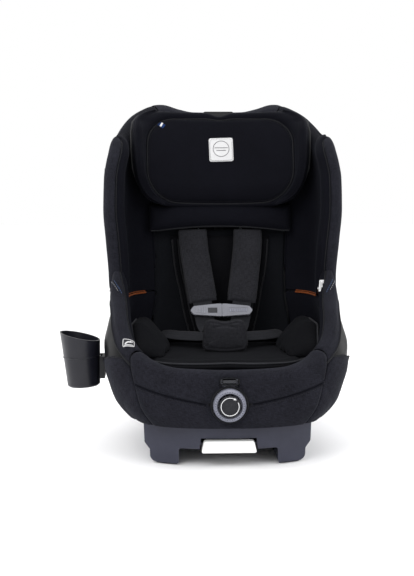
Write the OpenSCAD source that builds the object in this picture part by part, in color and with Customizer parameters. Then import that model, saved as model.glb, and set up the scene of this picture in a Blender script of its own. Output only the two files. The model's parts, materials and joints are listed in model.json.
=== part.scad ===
// Convertible child car seat: reclining shell on a skid base, sliding headrest,
// five-point harness with chest clip, tension dial, and a lift-off cup holder.
// Millimetres. +Z up, -Y is the front of the seat, X = 0 is the middle plane,
// Z = 0 is the surface the base stands on.

/* [Shell] */
// How far the back leans from upright, in degrees
back_lean = 15.4; // [15:0.1:16]
// Wall thickness of the moulded shell
shell_t = 4; // [3.4:0.1:4.2]
// Thickness of the woven outer cover
cover_t = 3; // [2.6:0.1:3]
// Thickness of a side wing from outer face to inner face
wing_t = 33; // [31:0.5:34]
// Depth of foam and padding behind the back
back_depth = 55; // [53:0.5:56]
// Squareness of the plan outline, where 1 is an ellipse
sq = 0.55; // [0.53:0.01:0.57]

/* [Base] */
// Height of the recline centre above the floor
pivot_z = 480; // [478:1:482]
// Radius of the base's top channel about the recline centre
base_r = 413; // [412.9:0.1:413.4]
// Outer half width of the feet
foot_out = 145; // [142:1:148]
// Inner half width between the feet
foot_in = 92; // [88:1:94]
// Half width of the base's upper flange
flange_w = 158; // [155:1:160]
// Height of the flange top
base_h = 98; // [96:1:98]

/* [Recline handle] */
// Half width of the pull handle
handle_w = 50; // [46:1:51]
// How far the handle pulls out
handle_travel = 12; // [8:1:12]

/* [Headrest] */
// Half width of the headrest
head_w = 188; // [180:1:190]
// Radius of the two guide rods
rod_r = 4; // [3.5:0.1:4.5]
// Radial running clearance on the rods
rod_gap = 0.06; // [0.04:0.01:0.09]

/* [Dial] */
// Outer radius of the dial's ring
dial_r = 30; // [29:0.5:30]
// Radius of the turning knob
knob_r = 20.5; // [19:0.5:21]
// Height of the dial's axis above the floor
dial_z = 120; // [119:1:121]
// Radius of the dial's shaft
shaft_r = 4; // [3.5:0.5:4]

/* [Harness] */
// Width of the webbing
web_w = 38; // [36:1:40]
// Thickness of the webbing
web_t = 1.4; // [1.2:0.1:1.6]

/* [Cup holder] */
// Outer radius of the cup's rim
cup_r = 39; // [37:0.5:39.5]
// Outer radius of the cup's bottom
cup_r0 = 31.5; // [30:0.5:33]
// Wall thickness of the cup
cup_t = 2.4; // [2:0.1:3]

/* [Hidden] */

// half width of the outer surface against height
half_width = [[60,165],[78,180],[88,190],[100,201],[115,211],[130,217],[145,222],[170,230],[190,235],[215,237],
  [245,231],[280,224],[335,225],[400,230],[465,235],[560,232],[592,230],[620,227],[650,224],[690,220]];
// front edge of the side walls against height
rim_line = [[60,-95],[200,-95],[240,-75],[272,-45],[300,-20],[318,-3],[340,0],[400,-5],[500,-8],[560,0],[592,18],[620,45],[645,80],[690,130]];
// front of the tub on the middle plane against height
front_line = [[60,-229],[78,-236],[100,-243],[124,-246],[150,-243],[174,-236],[200,-222],[240,-190],[280,-140],[318,-90]];
// rim height round the front half: degrees from the side, height
rim_h = [[0,318],[15,290],[30,255],[45,220],[60,192],[75,178],[90,174]];
// height of the back's top edge against distance from the middle
top_h = [[0,656],[60,657],[95,663],[140,673],[165,669],[185,657],[203,640],[215,622],[228,598]];

black = "#24252a"; charcoal = "#34353b"; web_c = "#2b2c30"; grey = "#7d7f84"; steel = "#b5b8bd"; white = "#ececea";

function sp(v) = (v < 0 ? -1 : 1) * pow(abs(v), sq);
function Wv(z) = lookup(z, half_width);
function Yc(z) = lookup(z, rim_line);
function Yf(z) = lookup(z, front_line);
function Yb(z) = 125 + (z - 185) * tan(back_lean);
// a point on the plan outline at height z, moved inwards by ox sideways and oy front to back;
// th is 0 at the right rim, 90 at the back, 180 at the left rim and 270 at the front
function P(th, z, ox, oy) = [(Wv(z) - ox) * sp(cos(th)),
  Yc(z) + (sin(th) >= 0 ? Yb(z) - oy - Yc(z) : Yc(z) - Yf(z) - oy) * sp(sin(th)), z];
function side_a(th) = th <= 270 ? th - 180 : 360 - th;
function zr(th) = lookup(side_a(th), rim_h);
function ztop(th) = lookup(abs(228 * sp(cos(th))), top_h);
// angle whose outline point lies at the fraction q of the half width
function th_of(q) = acos((q < 0 ? -1 : 1) * pow(abs(q), 1 / sq));
function mix(a, b, k) = a + (b - a) * k;

// closed solid between two grids of points, A on the seen side and B behind it;
// cells for which keep(i, j) is false stay open
module sheet(A, B, wrap = false, keep = function(i, j) true) {
  nu = len(A); nv = len(A[0]); cu = wrap ? nu : nu - 1; N = nu * nv;
  pts = concat([for (r = A) each r], [for (r = B) each r]);
  k = function(i, j) j >= 0 && j < nv - 1 && (wrap || (i >= 0 && i < cu)) && keep((i + cu) % cu, j);
  a = function(i, j) ((i + nu) % nu) * nv + j;
  b = function(i, j) N + ((i + nu) % nu) * nv + j;
  f = [for (i = [0:cu - 1], j = [0:nv - 2]) if (k(i, j)) each concat(
    [[a(i, j), a(i + 1, j), a(i + 1, j + 1)], [a(i, j), a(i + 1, j + 1), a(i, j + 1)],
     [b(i, j), b(i + 1, j + 1), b(i + 1, j)], [b(i, j), b(i, j + 1), b(i + 1, j + 1)]],
    k(i - 1, j) ? [] : [[a(i, j), a(i, j + 1), b(i, j + 1)], [a(i, j), b(i, j + 1), b(i, j)]],
    k(i + 1, j) ? [] : [[a(i + 1, j), b(i + 1, j + 1), a(i + 1, j + 1)], [a(i + 1, j), b(i + 1, j), b(i + 1, j + 1)]],
    k(i, j - 1) ? [] : [[a(i, j), b(i + 1, j), a(i + 1, j)], [a(i, j), b(i, j), b(i + 1, j)]],
    k(i, j + 1) ? [] : [[a(i, j + 1), a(i + 1, j + 1), b(i + 1, j + 1)], [a(i, j + 1), b(i + 1, j + 1), b(i, j + 1)]])];
  // faces run clockwise seen from outside
  vol = [for (t = f) pts[t[0]] * cross(pts[t[1]], pts[t[2]])] * [for (t = f) 1];
  polyhedron(pts, vol < 0 ? f : [for (t = f) [t[0], t[2], t[1]]], 10);
}

// polygon points with each corner [x, y, r] rounded by its radius
function rpoly(c, n = 6) = [for (i = [0:len(c) - 1]) let (p = c[i], q = c[(i + len(c) - 1) % len(c)], s = c[(i + 1) % len(c)],
  u = [q[0] - p[0], q[1] - p[1]] / norm([q[0] - p[0], q[1] - p[1]]), v = [s[0] - p[0], s[1] - p[1]] / norm([s[0] - p[0], s[1] - p[1]]),
  h = acos(u * v) / 2, d = p[2] / tan(h), o = [p[0], p[1]] + (u + v) / norm(u + v) * p[2] / sin(h),
  s0 = [p[0], p[1]] + u * d - o, s1 = [p[0], p[1]] + v * d - o)
  each (p[2] == 0 ? [[p[0], p[1]]] : [for (k = [0:n]) let (m = s0 * (1 - k / n) + s1 * k / n) o + m / norm(m) * p[2]])];

module slab(w, h, t, r) translate([0, t / 2, 0]) rotate([90, 0, 0]) linear_extrude(t) polygon(rpoly([[-w/2,-h/2,r],[w/2,-h/2,r],[w/2,h/2,r],[-w/2,h/2,r]]));
module back() translate([0, 70, 185]) rotate([-back_lean, 0, 0]) children();
module both() { children(); mirror([1, 0, 0]) children(); }
module about_pivot(r, w) translate([-w / 2, 0, pivot_z]) rotate([0, 90, 0]) cylinder(r = r, h = w, $fn = 180);
module plan(z, o, z0, h, ob = 0) translate([0, 0, z0]) linear_extrude(h) polygon([for (t = [0:7.5:352.5]) let (p = P(t, z, o, t < 180 && ob > 0 ? ob : o)) [p[0], p[1]]]);

// flat webbing along points [x, y, z, roll], roll turning its width about the vertical
module ribbon(p, w, t) {
  n = len(p);
  d = [for (i = [0:n - 1]) let (a = p[max(i - 1, 0)], b = p[min(i + 1, n - 1)], v = [b[0] - a[0], b[1] - a[1], b[2] - a[2]]) v / norm(v)];
  s = [for (i = [0:n - 1]) let (r = [cos(p[i][3]), sin(p[i][3]), 0], c = r - d[i] * (r * d[i])) c / norm(c)];
  m = [for (i = [0:n - 1]) cross(s[i], d[i])];
  c = [for (q = p) [q[0], q[1], q[2]]];
  sheet([for (i = [0:n - 1]) [c[i] - s[i] * w / 2 - m[i] * t / 2, c[i] + s[i] * w / 2 - m[i] * t / 2]],
        [for (i = [0:n - 1]) [c[i] - s[i] * w / 2 + m[i] * t / 2, c[i] + s[i] * w / 2 + m[i] * t / 2]]);
}

// compression spring along +Z
module coil(r, wire, len, turns) {
  n = turns * 10;
  ring = [for (i = [0:n]) [for (k = [0:5]) let (a = 36 * i, q = 60 * k)
    [(r + wire * cos(q)) * cos(a), (r + wire * cos(q)) * sin(a), wire + (len - 2 * wire) * i / n + wire * sin(q)]]];
  pts = [for (g = ring) each g];
  polyhedron(pts, concat([[for (k = [0:5]) k]], [[for (k = [5:-1:0]) n * 6 + k]],
    [for (i = [0:n - 1], k = [0:5]) each [[i * 6 + k, (i + 1) * 6 + k, (i + 1) * 6 + (k + 1) % 6], [i * 6 + k, (i + 1) * 6 + (k + 1) % 6, i * 6 + (k + 1) % 6]]]), 4);
}

// ---------- base ----------
foot_z = 3;
module base_outline() polygon(rpoly([[-foot_out, foot_z, 12], [-foot_in, foot_z, 4], [-foot_in, 32.5, 5], [foot_in, 32.5, 5], [foot_in, foot_z, 4],
  [foot_out, foot_z, 12], [foot_out + 1, 26, 3], [flange_w - 2, 38, 8], [flange_w, base_h, 5], [-flange_w, base_h, 5], [-flange_w + 2, 38, 8], [-foot_out - 1, 26, 3]]));
module base_shell() color("#2b2e38") { base_body(); translate([-5, -130, 38]) cube([10, 4, 21]); }
module base_body() difference() {
  intersection() {
    union() { translate([0, 205, 0]) rotate([90, 0, 0]) linear_extrude(430) base_outline(); translate([-foot_in - 2, 180, foot_z]) cube([2 * foot_in + 4, 25, 34]); }
    translate([0, 96, -1]) cylinder(r = 318, h = 200, $fn = 180);
  }
  about_pivot(base_r, 400);
  // well for the latch, then pockets either side of the rails
  translate([-54, -205, 38]) cube([108, 385, 100]);
  both() { translate([66, -170, 42]) cube([22, 340, 120]); translate([112, -160, 9]) cube([24, 330, 120]); }
  // recess for the pull handle
  translate([0, -190, 0]) rotate([90, 0, 0]) linear_extrude(60) polygon([[-handle_w - 5, 20], [handle_w + 5, 20], [handle_w + 1.5, 53], [-handle_w - 1.5, 53]]);
  // steel tube and screws
  translate([-160, 60, 56]) rotate([0, 90, 0]) cylinder(r = 8, h = 320, $fn = 48);
  for (s = [-1, 1], y = [-185, 188]) translate([s * 100, y, 60]) cylinder(r = 2.5, h = 80, $fn = 24);
}
// anti-slip sole under both feet and the rear bar
module foot_pads() color("#151517") intersection() {
  linear_extrude(foot_z) polygon([[-foot_out + 11, -215], [-foot_in - 3, -215], [-foot_in - 3, 184], [foot_in + 3, 184], [foot_in + 3, -215], [foot_out - 11, -215], [foot_out - 11, 201], [-foot_out + 11, 201]]);
  translate([0, 96, -1]) cylinder(r = 312, h = 10, $fn = 120);
}
module base_cross_tube() color(steel) translate([-146, 60, 56]) rotate([0, 90, 0]) difference() { cylinder(r = 8, h = 292, $fn = 48); translate([0, 0, -1]) cylinder(r = 6.5, h = 294, $fn = 48); }
module base_screws() color(steel) for (s = [-1, 1], y = [-185, 188]) translate([s * 100, y, 0]) { translate([0, 0, 74]) cylinder(r = 2.5, h = base_h - 74, $fn = 24); translate([0, 0, base_h]) cylinder(r = 5, h = 2, $fn = 24); }

// ---------- recline handle, slides forwards ----------
module recline_handle() color(white) {
  difference() {
    union() {
      translate([0, -218, 0]) rotate([90, 0, 0]) linear_extrude(14) polygon(rpoly([[-handle_w - 1, 28.5, 3], [handle_w + 1, 28.5, 3], [handle_w - 4, 50.5, 5], [-handle_w + 4, 50.5, 5]]));
      translate([-handle_w + 10, -219, 39]) cube([2 * handle_w - 20, 128, 6]);
      both() translate([26, -111, 44]) cube([6, 20, 27]);
    }
    translate([-handle_w + 8, -226.5, 20]) cube([2 * handle_w - 16, 7, 17]);
    translate([-60, -101, 66]) rotate([0, 90, 0]) cylinder(r = 4, h = 120, $fn = 32);
    // slot that lets the base's spring post through
    translate([-6.5, -160, 30]) cube([13, 62, 20]);
  }
  // stop for the spring
  translate([-9, -95, 44.5]) cube([18, 4, 14]);
}
module latch_bar() color(steel) translate([-45, -101, 66]) rotate([0, 90, 0]) cylinder(r = 4, h = 90, $fn = 32);
module handle_spring() color(steel) translate([0, -95.4, 52]) rotate([90, 0, 0]) coil(5, 0.7, 30, 6);

// ---------- moulded shell ----------
M = 8; N = 20;
cols = concat([for (t = [0:7.5:180]) t], [for (a = [12:12:84]) 180 + a], [267.7, 272.3], [for (a = [84:-12:12]) 360 - a]);
H = 24;  // columns in the back half
shell_o = 4.5;  // shell's outer face, in from the outer surface
foam_o = 11; foam_i = 24.5; foam_b = 46;  // foam's outer face, inner face at the sides and at the back
function zbot(th) = th <= 180 ? lookup(min(th, 180 - th), [[0, 78], [25, 87]]) : 78;
function zlow(th) = th <= 180 ? 318 : zr(th) - 9;
function Z(th, j, z0, cut) = j <= M ? mix(z0, zlow(th) , j / M) : mix(318, ztop(th) - cut, (j - M) / (N - M));
function row_keep(i, j) = j < M || i < H;
module seat_shell() color("#1b1c20") sheet(
  [for (t = cols) [for (j = [0:N]) P(t, j <= M ? mix(zbot(t), zlow(t), j / M) : Z(t, j, 0, 6), shell_o, shell_o)]],
  [for (t = cols) [for (j = [0:N]) P(t, j <= M ? mix(zbot(t), zlow(t), j / M) : Z(t, j, 0, 6), shell_o + shell_t, shell_o + shell_t)]],
  wrap = true,
  keep = function(i, j) row_keep(i, j)
    && !(j == M - 1 && ((i >= 1 && i <= 5) || (i >= 18 && i <= 22)))          // belt path
    && !(j >= 12 && j <= 18 && i >= 11 && i <= 12)                             // headrest carrier and harness
    && !(j >= 1 && i == 32));                                                  // dial and release
module seat_deck() color("#1b1c20") intersection() {
  plan(150, 14, 60, 120);
  union() {
    translate([-190, 0, 0]) rotate([90, 0, 90]) linear_extrude(380) polygon([[-210, 148], [-210, 152], [20, 144], [64, 156], [66, 152], [22, 140]]);
    difference() { both() translate([58, -190, 60]) cube([4, 215, 82]); about_pivot_out(403.7); }
  }
}
module about_pivot_out(r) difference() { translate([-200, -400, 0]) cube([400, 800, 200]); about_pivot(r, 400); }
module glide_pan() color("#1b1c20") intersection() {
  plan(90, 14, 40, 200);
  translate([-150, -165, 40]) cube([300, 250, 200]);
  union() {
    difference() { about_pivot(410, 400); about_pivot(404, 402); }
    both() translate([100, 0, 0]) difference() { about_pivot(base_r - 0.3, 18); about_pivot(405, 20); }
  }
}
module recline_rack() color(steel) difference() {
  intersection() {
    translate([-12, -140, 40]) cube([24, 140, 60]);
    difference() { about_pivot(416, 24); about_pivot(410, 26); }
  }
  for (a = [0:4:12]) translate([-20, 0, pivot_z]) rotate([a - 4.5, 0, 0]) translate([0, 0, -418]) rotate([0, 90, 0]) cylinder(r = 4.2, h = 40, $fn = 32);
}
rc = [for (t = [66:6:114]) t];
module rear_cover() color("#202127") sheet(
  [for (t = rc) [for (z = [180:47:603]) P(t, z, -1, -1)]], [for (t = rc) [for (z = [180:47:603]) P(t, z, 2.8, 2.8)]]);
module shell_screws() color(steel) {
  for (x = [-70, 70], z = [240, 520]) translate([x, Yb(z) - 12, z]) rotate([-90 , 0, 0]) { cylinder(r = 2.2, h = 10.5, $fn = 24); }
  for (y = [-97, -83]) translate([-237.1, y, 166]) rotate([0, 90, 0]) cylinder(r = 2, h = 15, $fn = 24);
}

// ---------- foam ----------
fcol = [300, 312, 324, 336, 348, 360, 367.5, 375, 382.5, 390, 397.5, 405, 412.5, 418];
function norm_th(t) = t >= 360 ? t - 360 : t;
module side_foam_right() color("#e4e4e2") sheet(
  [for (t = fcol) [for (j = [0:N]) let (u = norm_th(t)) P(u, Z(u, j, 160, 7), foam_o, foam_o)]],
  [for (t = fcol) [for (j = [0:N]) let (u = norm_th(t)) P(u, Z(u, j, 160, 7), foam_i, u < 180 ? foam_b : foam_i)]],
  keep = function(i, j) (j < M || i >= 5) && !(j >= M - 2 && j < M && i >= 6 && i <= 10));
module side_foam_left() mirror([1, 0, 0]) side_foam_right();
bcol = [60, 67.5, 75, 82.5, 97.5, 105, 112.5, 120];
module back_foam() color("#e4e4e2") sheet(
  [for (t = bcol) [for (j = [0:10]) P(t, mix(190, ztop(t) - 7, j / 10), foam_o, foam_o)]],
  [for (t = bcol) [for (j = [0:10]) P(t, mix(190, ztop(t) - 7, j / 10), foam_i, foam_b)]],
  keep = function(i, j) i != 3);

// ---------- covers ----------
wo = [37.5, 30, 22.5, 15, 7.5, 0]; wi = [0, 7.5, 15, 22.5, 30, 37.5, 45, 52.5, 57];
function rimpt(z, dx, dy) = [Wv(z) - dx, Yc(z) - dy, z];
// the cover's section runs from the outside, round the rim and back along the inside
function wing_row(s, k, dx, ox, ob, rx, ry, rz) = s <= 5 ? P(wo[s], mix(322, ztop(wo[s]), k), dx, dx)
  : s <= 8 ? rimpt(mix(322, ztop(0), k), rx[s - 6], ry[s - 6])
  : P(wi[s - 9], mix(322, ztop(wi[s - 9]), k), ox, ob);
module wing_cover_right() color(charcoal) sheet(
  [for (s = [0:17]) [for (j = [0:12]) wing_row(s, j / 12, 0, wing_t, back_depth, [5, 16.5, 28], [9, 13, 9])]],
  [for (s = [0:17]) [for (j = [0:12]) wing_row(s, j / 12, cover_t, 27, 49, [7.5, 16.5, 25.5], [5.5, 8, 5.5])]]);
module wing_cover_left() mirror([1, 0, 0]) wing_cover_right();
ht = [300, 312, 324, 336, 348, 358.5];
module hip_cover_right() color(charcoal) {
  sheet(
    [for (t = ht) let (r = zr(t)) [P(t, r - 14, 0, 0), P(t, r - 4, 0, 0), Q(t, r + 4, 6), Q(t, r + 7, 16.5), Q(t, r + 4, 27), each [for (k = [1, 0.8, 0.6, 0.4, 0.2, 0]) P(t, mix(176, r - 6, k), 33, 33)]]],
    [for (t = ht) let (r = zr(t)) [P(t, r - 14, 3, 3), P(t, r - 5, 3, 3), Q(t, r + 0.8, 7.5), Q(t, r + 2.5, 16.5), Q(t, r + 0.8, 25.5), each [for (k = [1, 0.8, 0.6, 0.4, 0.2, 0]) P(t, mix(176, r - 7, k), 27, 27)]]]);
  sheet(
    [for (t = [0.5, 7.5, 15, 22.5, 30, 37.5, 45, 52.5, 57]) [for (z = [176:22.4:288]) P(t, z, 33, back_depth)]],
    [for (t = [0.5, 7.5, 15, 22.5, 30, 37.5, 45, 52.5, 57]) [for (z = [176:22.4:288]) P(t, z, 27, 49)]]);
}
// the same outline point, held at the shape of the rim just below it
function Q(th, z, o) = let (p = P(th, zr(th) - 6, o, o)) [p[0], p[1], z];
module hip_cover_left() mirror([1, 0, 0]) hip_cover_right();
module apron_cover() color(charcoal) {
  aq = [for (q = [-34, -18, 18, 34]) let (t = th_of(q / 240)) 360 - t];
  fa = concat([243, 252, 264], aq, [276, 288, 297]);
  fz = [0, 0.13, 0.4, 0.6, 0.83, 0.9];
  sheet(
    [for (t = fa) let (r = zr(t)) concat([for (f = fz) P(t, mix(apron_lo(t), r - 6, f), 0, 0)],
      [P(t, r - 6, 0, 0), Q(t, r + 2, 5), Q(t, r + 5, 14), Q(t, r + 4, 24), P(t, r - 2, 33, 33)])],
    [for (t = fa) let (r = zr(t)) concat([for (f = fz) P(t, mix(apron_lo(t), r - 6, f), 3, 3)],
      [P(t, r - 8, 3, 3), Q(t, r - 1, 7.5), Q(t, r + 1.5, 14), Q(t, r + 0.8, 24), P(t, r - 5, 30, 30)])],
    keep = function(i, j) !(i >= 3 && i <= 5 && j >= 1 && j <= 3) && !(i == 4 && j == 5));
  both() sheet(
    [for (t = [299.5, 312, 324, 336, 348, 352]) [for (k = [0:0.2:1]) P(t, mix(apron_lo(t), min(zr(t) - 17, lookup(side_a(t), [[5, 188], [30, 200], [60, 200]])), k), 0, 0)]],
    [for (t = [299.5, 312, 324, 336, 348, 352]) [for (k = [0:0.2:1]) P(t, mix(apron_lo(t), min(zr(t) - 17, lookup(side_a(t), [[5, 188], [30, 200], [60, 200]])), k), 3, 3)]]);
}
function apron_lo(t) = lookup(side_a(t), [[0, 84], [40, 80], [90, 75]]);
// padded band over the top edge of the back
tt = [60, 67.5, 75, 82.5, 90, 97.5, 105, 112.5, 120];
module top_cover() color(charcoal) sheet(
  [for (t = tt) let (r = ztop(t)) [P(t, r - 45, 0, 0), P(t, r - 4, 0, 0), TQ(t, r + 2, 6), TQ(t, r + 4, 24), TQ(t, r + 2, 45), P(t, r - 8, 33, 55), P(t, r - 14, 33, 55)]],
  [for (t = tt) let (r = ztop(t)) [P(t, r - 45, 3, 3), P(t, r - 4, 3, 3), TQ(t, r - 2, 6.5), TQ(t, r - 1, 24), TQ(t, r - 2, 44), P(t, r - 9, 27, 49), P(t, r - 14, 27, 49)]]);
function TQ(th, z, o) = let (p = P(th, ztop(th) - 4, min(o, 33), o)) [p[0], p[1], z];

module seat_cushion() color("#26272c") intersection() {
  plan(165, 35, 120, 120, 59);
  translate([-200, 0, 0]) rotate([90, 0, 90]) linear_extrude(400) polygon(rpoly([[-206, 153, 3], [-206, 170, 10], [-150, 175, 20], [0, 171, 20], [62, 173, 10], [55, 155, 2], [19, 145, 2]]));
}
module back_pad() color("#26272c") sheet(
  [for (t = [59, 64, 71, 78, 85, 95, 102, 109, 116, 121]) [for (j = [0:8]) P(t, mix(190, min(ztop(t), 660) - 28, j / 8), 33, back_depth)]],
  [for (t = [59, 64, 71, 78, 85, 95, 102, 109, 116, 121]) [for (j = [0:8]) P(t, mix(190, min(ztop(t), 660) - 28, j / 8), 27, 49)]],
  keep = function(i, j) !(i >= 3 && i <= 5 && j >= 4));

// ---------- removable insert ----------
module insert_seat_pad() color("#2e2f35") difference() {
  translate([0, 0, 176]) linear_extrude(11) polygon(rpoly([[-150, -145, 30], [-112, -188, 24], [-50, -194, 20], [0, -188, 60], [50, -194, 20], [112, -188, 24], [150, -145, 30], [126, 48, 20], [-126, 48, 20]]));
  translate([-21, -62, 170]) cube([42, 12, 20]);
}
module bolster() hull() { translate([152, -128, 206]) sphere(r = 24, $fn = 20); translate([152, -60, 232]) sphere(r = 30, $fn = 20); translate([146, 4, 226]) sphere(r = 26, $fn = 20); translate([140, 34, 208]) sphere(r = 18, $fn = 20); }
module insert_bolster_right() color("#2e2f35") difference() { translate([7, 0, -5]) bolster(); translate([0, -300, 100]) cube([400, 600, 87.4]); }
module insert_bolster_left() mirror([1, 0, 0]) insert_bolster_right();
module insert_back_pad() color("#2e2f35") sheet(
  [for (t = [67, 72, 78, 84, 96, 102, 108, 113]) [for (z = [212, 250, 300, 350, 398]) P(t, z, 47, 69)]],
  [for (t = [67, 72, 78, 84, 96, 102, 108, 113]) [for (z = [212, 250, 300, 350, 398]) P(t, z, 34.5, 56.5)]]);

// ---------- belt guides, pods, labels ----------
gt = [10, 17, 24, 31, 37];
module belt_guides() color("#b8562a") both() sheet(
  [for (t = gt) [for (o = [10.5, 22, 36]) P(t, 291.5, o, o)]], [for (t = gt) [for (o = [10.5, 22, 36]) let (p = P(t, 291.5, o, o)) [p[0], p[1], 289]]]);
module side_pods() color("#17181b") both() translate([229.4, 110, 529]) rotate([0, 90, 0]) cylinder(r1 = 15, r2 = 12, h = 9, $fn = 40);
module side_labels() color(white) {
  mirror([1, 0, 0]) sheet([for (t = [306, 310, 314, 318]) let (r = zr(t)) [Q(t, r + 8, 6.5), Q(t, r + 10.8, 16.5), Q(t, r + 8, 26.5)]],
    [for (t = [306, 310, 314, 318]) let (r = zr(t)) [Q(t, r + 7.2, 6.5), Q(t, r + 10, 16.5), Q(t, r + 7.2, 26.5)]]);
  translate([Wv(310) - 29, Yc(320) - 15.5, 326]) cube([12, 1, 36]);
}

// ---------- harness ----------
sp_path = [[56, 98, 402, 0], [55, 82, 375, 0], [49, 56, 335, 2], [43, 28, 290, 2], [40, 15.2, 273, 0], [36, -1.6, 241, 0], [32, -8.5, 228, 0], [26, -19, 221, 5], [20, -30, 225, 8], [17, -38, 235, 10]];
module shoulder_straps() color(web_c) both() ribbon([for (p = sp_path) [p[0], p[1] + 5.2, p[2], p[3]]], web_w, web_t);
module lap_straps() color(web_c) both() ribbon([[33, -47, 214, 8], [56, -34, 212, 25], [90, -8, 208, 40], [110, 20, 205, 50]], web_w * 0.8, web_t);
module shoulder_pads() color("#3a3b40") {
  both() ribbon([[57, 98, 402, 0], [55, 82, 375, 0], [49, 56, 335, 2], [41, 24, 286, 2], [39, 16, 274, 0]], 56, 5.6);
}
module rear_webbing() color(web_c) {
  both() back() translate([16, 0, 0]) ribbon([[22, 8, 228, 0], [17, 8, 190, 0], [4, 14, 136, 0]], web_w * 0.7, web_t);
  ribbon([[0, 112, 281, 0], [0, 102, 240, 0], [0, 84, 180, 0], [0, 76, 150, 0], [0, 60, 132, 0], [0, 0, 127, 0], [0, -120, 126, 0], [0, -188, 133.5, 0]], web_w * 0.8, web_t);
}
module harness_yoke() color(steel) back() translate([0, 19.5, 116]) difference() { slab(64, 34, 3, 5); translate([0, 0, 9]) slab(52, 4, 8, 1); translate([0, 0, -9]) slab(36, 4, 8, 1); }
module crotch_strap() color(web_c) ribbon([[0, -55.2, 193.4, 0], [0, -56.6, 185, 0], [0, -57, 176.5, 0]], web_w, 2);
module crotch_pad() color("#34353b") translate([0, -76, 220]) rotate([-8, 0, 0]) translate([0, -4, 0]) rotate([90, 0, 0]) translate([0, 0, -7]) linear_extrude(14) polygon(rpoly([[-43, -30, 14], [43, -30, 14], [37, 30, 22], [-37, 30, 22]]));
module buckle_body() color("#1d1e21") translate([0, -50, 216]) rotate([-12, 0, 0]) difference() {
  slab(56, 44, 19, 8);
  translate([0, 0, 14]) slab(36, 20, 5, 1);
  translate([0, 0.2, -3]) rotate([90, 0, 0]) cylinder(r = 8.06, h = 12, $fn = 40);
}
module buckle_tongues() color(steel) translate([0, -50, 216]) rotate([-12, 0, 0]) both() translate([9, 0, 16]) slab(15, 22, 2.2, 2);
module buckle_button() color("#a32020") translate([0, -50, 216]) rotate([-12, 0, 0]) translate([0, -4, -3]) rotate([90, 0, 0]) cylinder(r = 8, h = 6, $fn = 40);

clip_y = 7.5; clip_z = 257;
module clip_at() translate([-2, clip_y, clip_z]) rotate([-27.8, 0, 0]) children();
module chest_clip_right() color(grey) clip_at() difference() {
  union() {
    rotate([90, 0, 0]) translate([0, 0, -2.4]) linear_extrude(7.4) polygon(rpoly([[1, -13, 2], [56, -9, 5], [63, 0, 4], [56, 9, 5], [8, 14, 3], [1, 14, 2]]));
    translate([-26, -1.5, -6]) cube([28, 3, 12]);
  }
  translate([14, -6, -5]) cube([38, 1.6, 10]);
}
module chest_clip_left() color(grey) clip_at() difference() {
  rotate([90, 0, 0]) translate([0, 0, -2.4]) linear_extrude(7.4) polygon(rpoly([[0.6, -13, 2], [-56, -9, 5], [-63, 0, 4], [-56, 9, 5], [-8, 14, 3], [0.6, 14, 2]]));
  translate([-30, -1.9, -6.4]) cube([32, 3.8, 12.8]);
  translate([-27.3, -6, -5.3]) cube([18.6, 4.5, 10.6]);
}
module chest_clip_button() color("#8b8d92") clip_at() translate([-27, -5.8, -5]) cube([18, 2.2, 10]);

// ---------- tension dial and release ----------
module dial_front() translate([0, -238, dial_z]) rotate([90, 0, 0]) children();
module dial_housing() color("#2a2b30") difference() {
  union() {
    dial_front() { rotate_extrude($fn = 90) polygon([[22, 0], [dial_r, 0], [dial_r, 8], [dial_r - 3, 12.5], [dial_r - 6, 12.5], [22, 9]]); translate([0, 0, -11]) cylinder(r = 30.6, h = 11, $fn = 72); }
    translate([-16, -228, 139]) cube([32, 9, 32.5]);
    translate([-30, -205.5, 101]) cube([60, 3.5, 42]);
    both() translate([26.5, -232.5, 101]) cube([3.5, 30, 42]);
  }
  dial_front() translate([0, 0, -60]) cylinder(r = shaft_r + 0.06, h = 90, $fn = 40);
  translate([-12.3, -240, 156]) cube([24.6, 30, 13.4]);
  translate([-30, -224, 162.5]) rotate([0, 90, 0]) cylinder(r = 1.5, h = 60, $fn = 24);
}
module tension_dial() color("#3c3e44") dial_front() difference() {
  union() { translate([0, 0, 1]) cylinder(r = knob_r, h = 14, $fn = 90); translate([0, 0, 15]) cylinder(r1 = knob_r, r2 = knob_r - 2, h = 2.5, $fn = 90); }
  for (a = [0:30:330]) rotate([0, 0, a + 15]) translate([knob_r + 1, 0, 4]) cylinder(r = 1.8, h = 8, $fn = 20);
}
module dial_spool() color(steel) dial_front() {
  difference() { translate([0, 0, -47]) cylinder(r = shaft_r, h = 47.5, $fn = 40); }
  translate([0, 0, -30]) cylinder(r = 13, h = 2, $fn = 48);
  translate([0, 0, -45.5]) difference() { cylinder(r = 17, h = 3, $fn = 72); for (a = [0:20:340]) rotate([0, 0, a]) translate([17.6, 0, -1]) cylinder(r = 1.8, h = 6, $fn = 20); }
}
module release_lever() color(grey) difference() {
  translate([-12, -236.4, 159.5]) cube([24, 22.4, 6]);
  translate([-13, -224, 162.5]) rotate([0, 90, 0]) cylinder(r = 1.56, h = 26, $fn = 24);
}
module release_pin() color(steel) translate([-15.5, -224, 162.5]) rotate([0, 90, 0]) cylinder(r = 1.5, h = 31, $fn = 24);

// ---------- headrest guide on the shell ----------
rod_x = 45; rod_y = 20;
module guide_rods() color(steel) both() back() translate([rod_x, rod_y, 198]) cylinder(r = rod_r, h = 284, $fn = 40);
module rod_brackets() color(steel) back() for (t = [200, 477]) difference() { translate([-56, 12, t]) cube([112, 16, 3]); both() translate([rod_x, rod_y, t - 1]) cylinder(r = rod_r, h = 5, $fn = 40); }
module height_rack() color(steel) back() difference() { translate([-9, 27, 203]) cube([18, 3, 274]); for (t = [226:24:466]) translate([0, 20, t]) rotate([-90, 0, 0]) cylinder(r = 3.2, h = 20, $fn = 24); }

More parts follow.
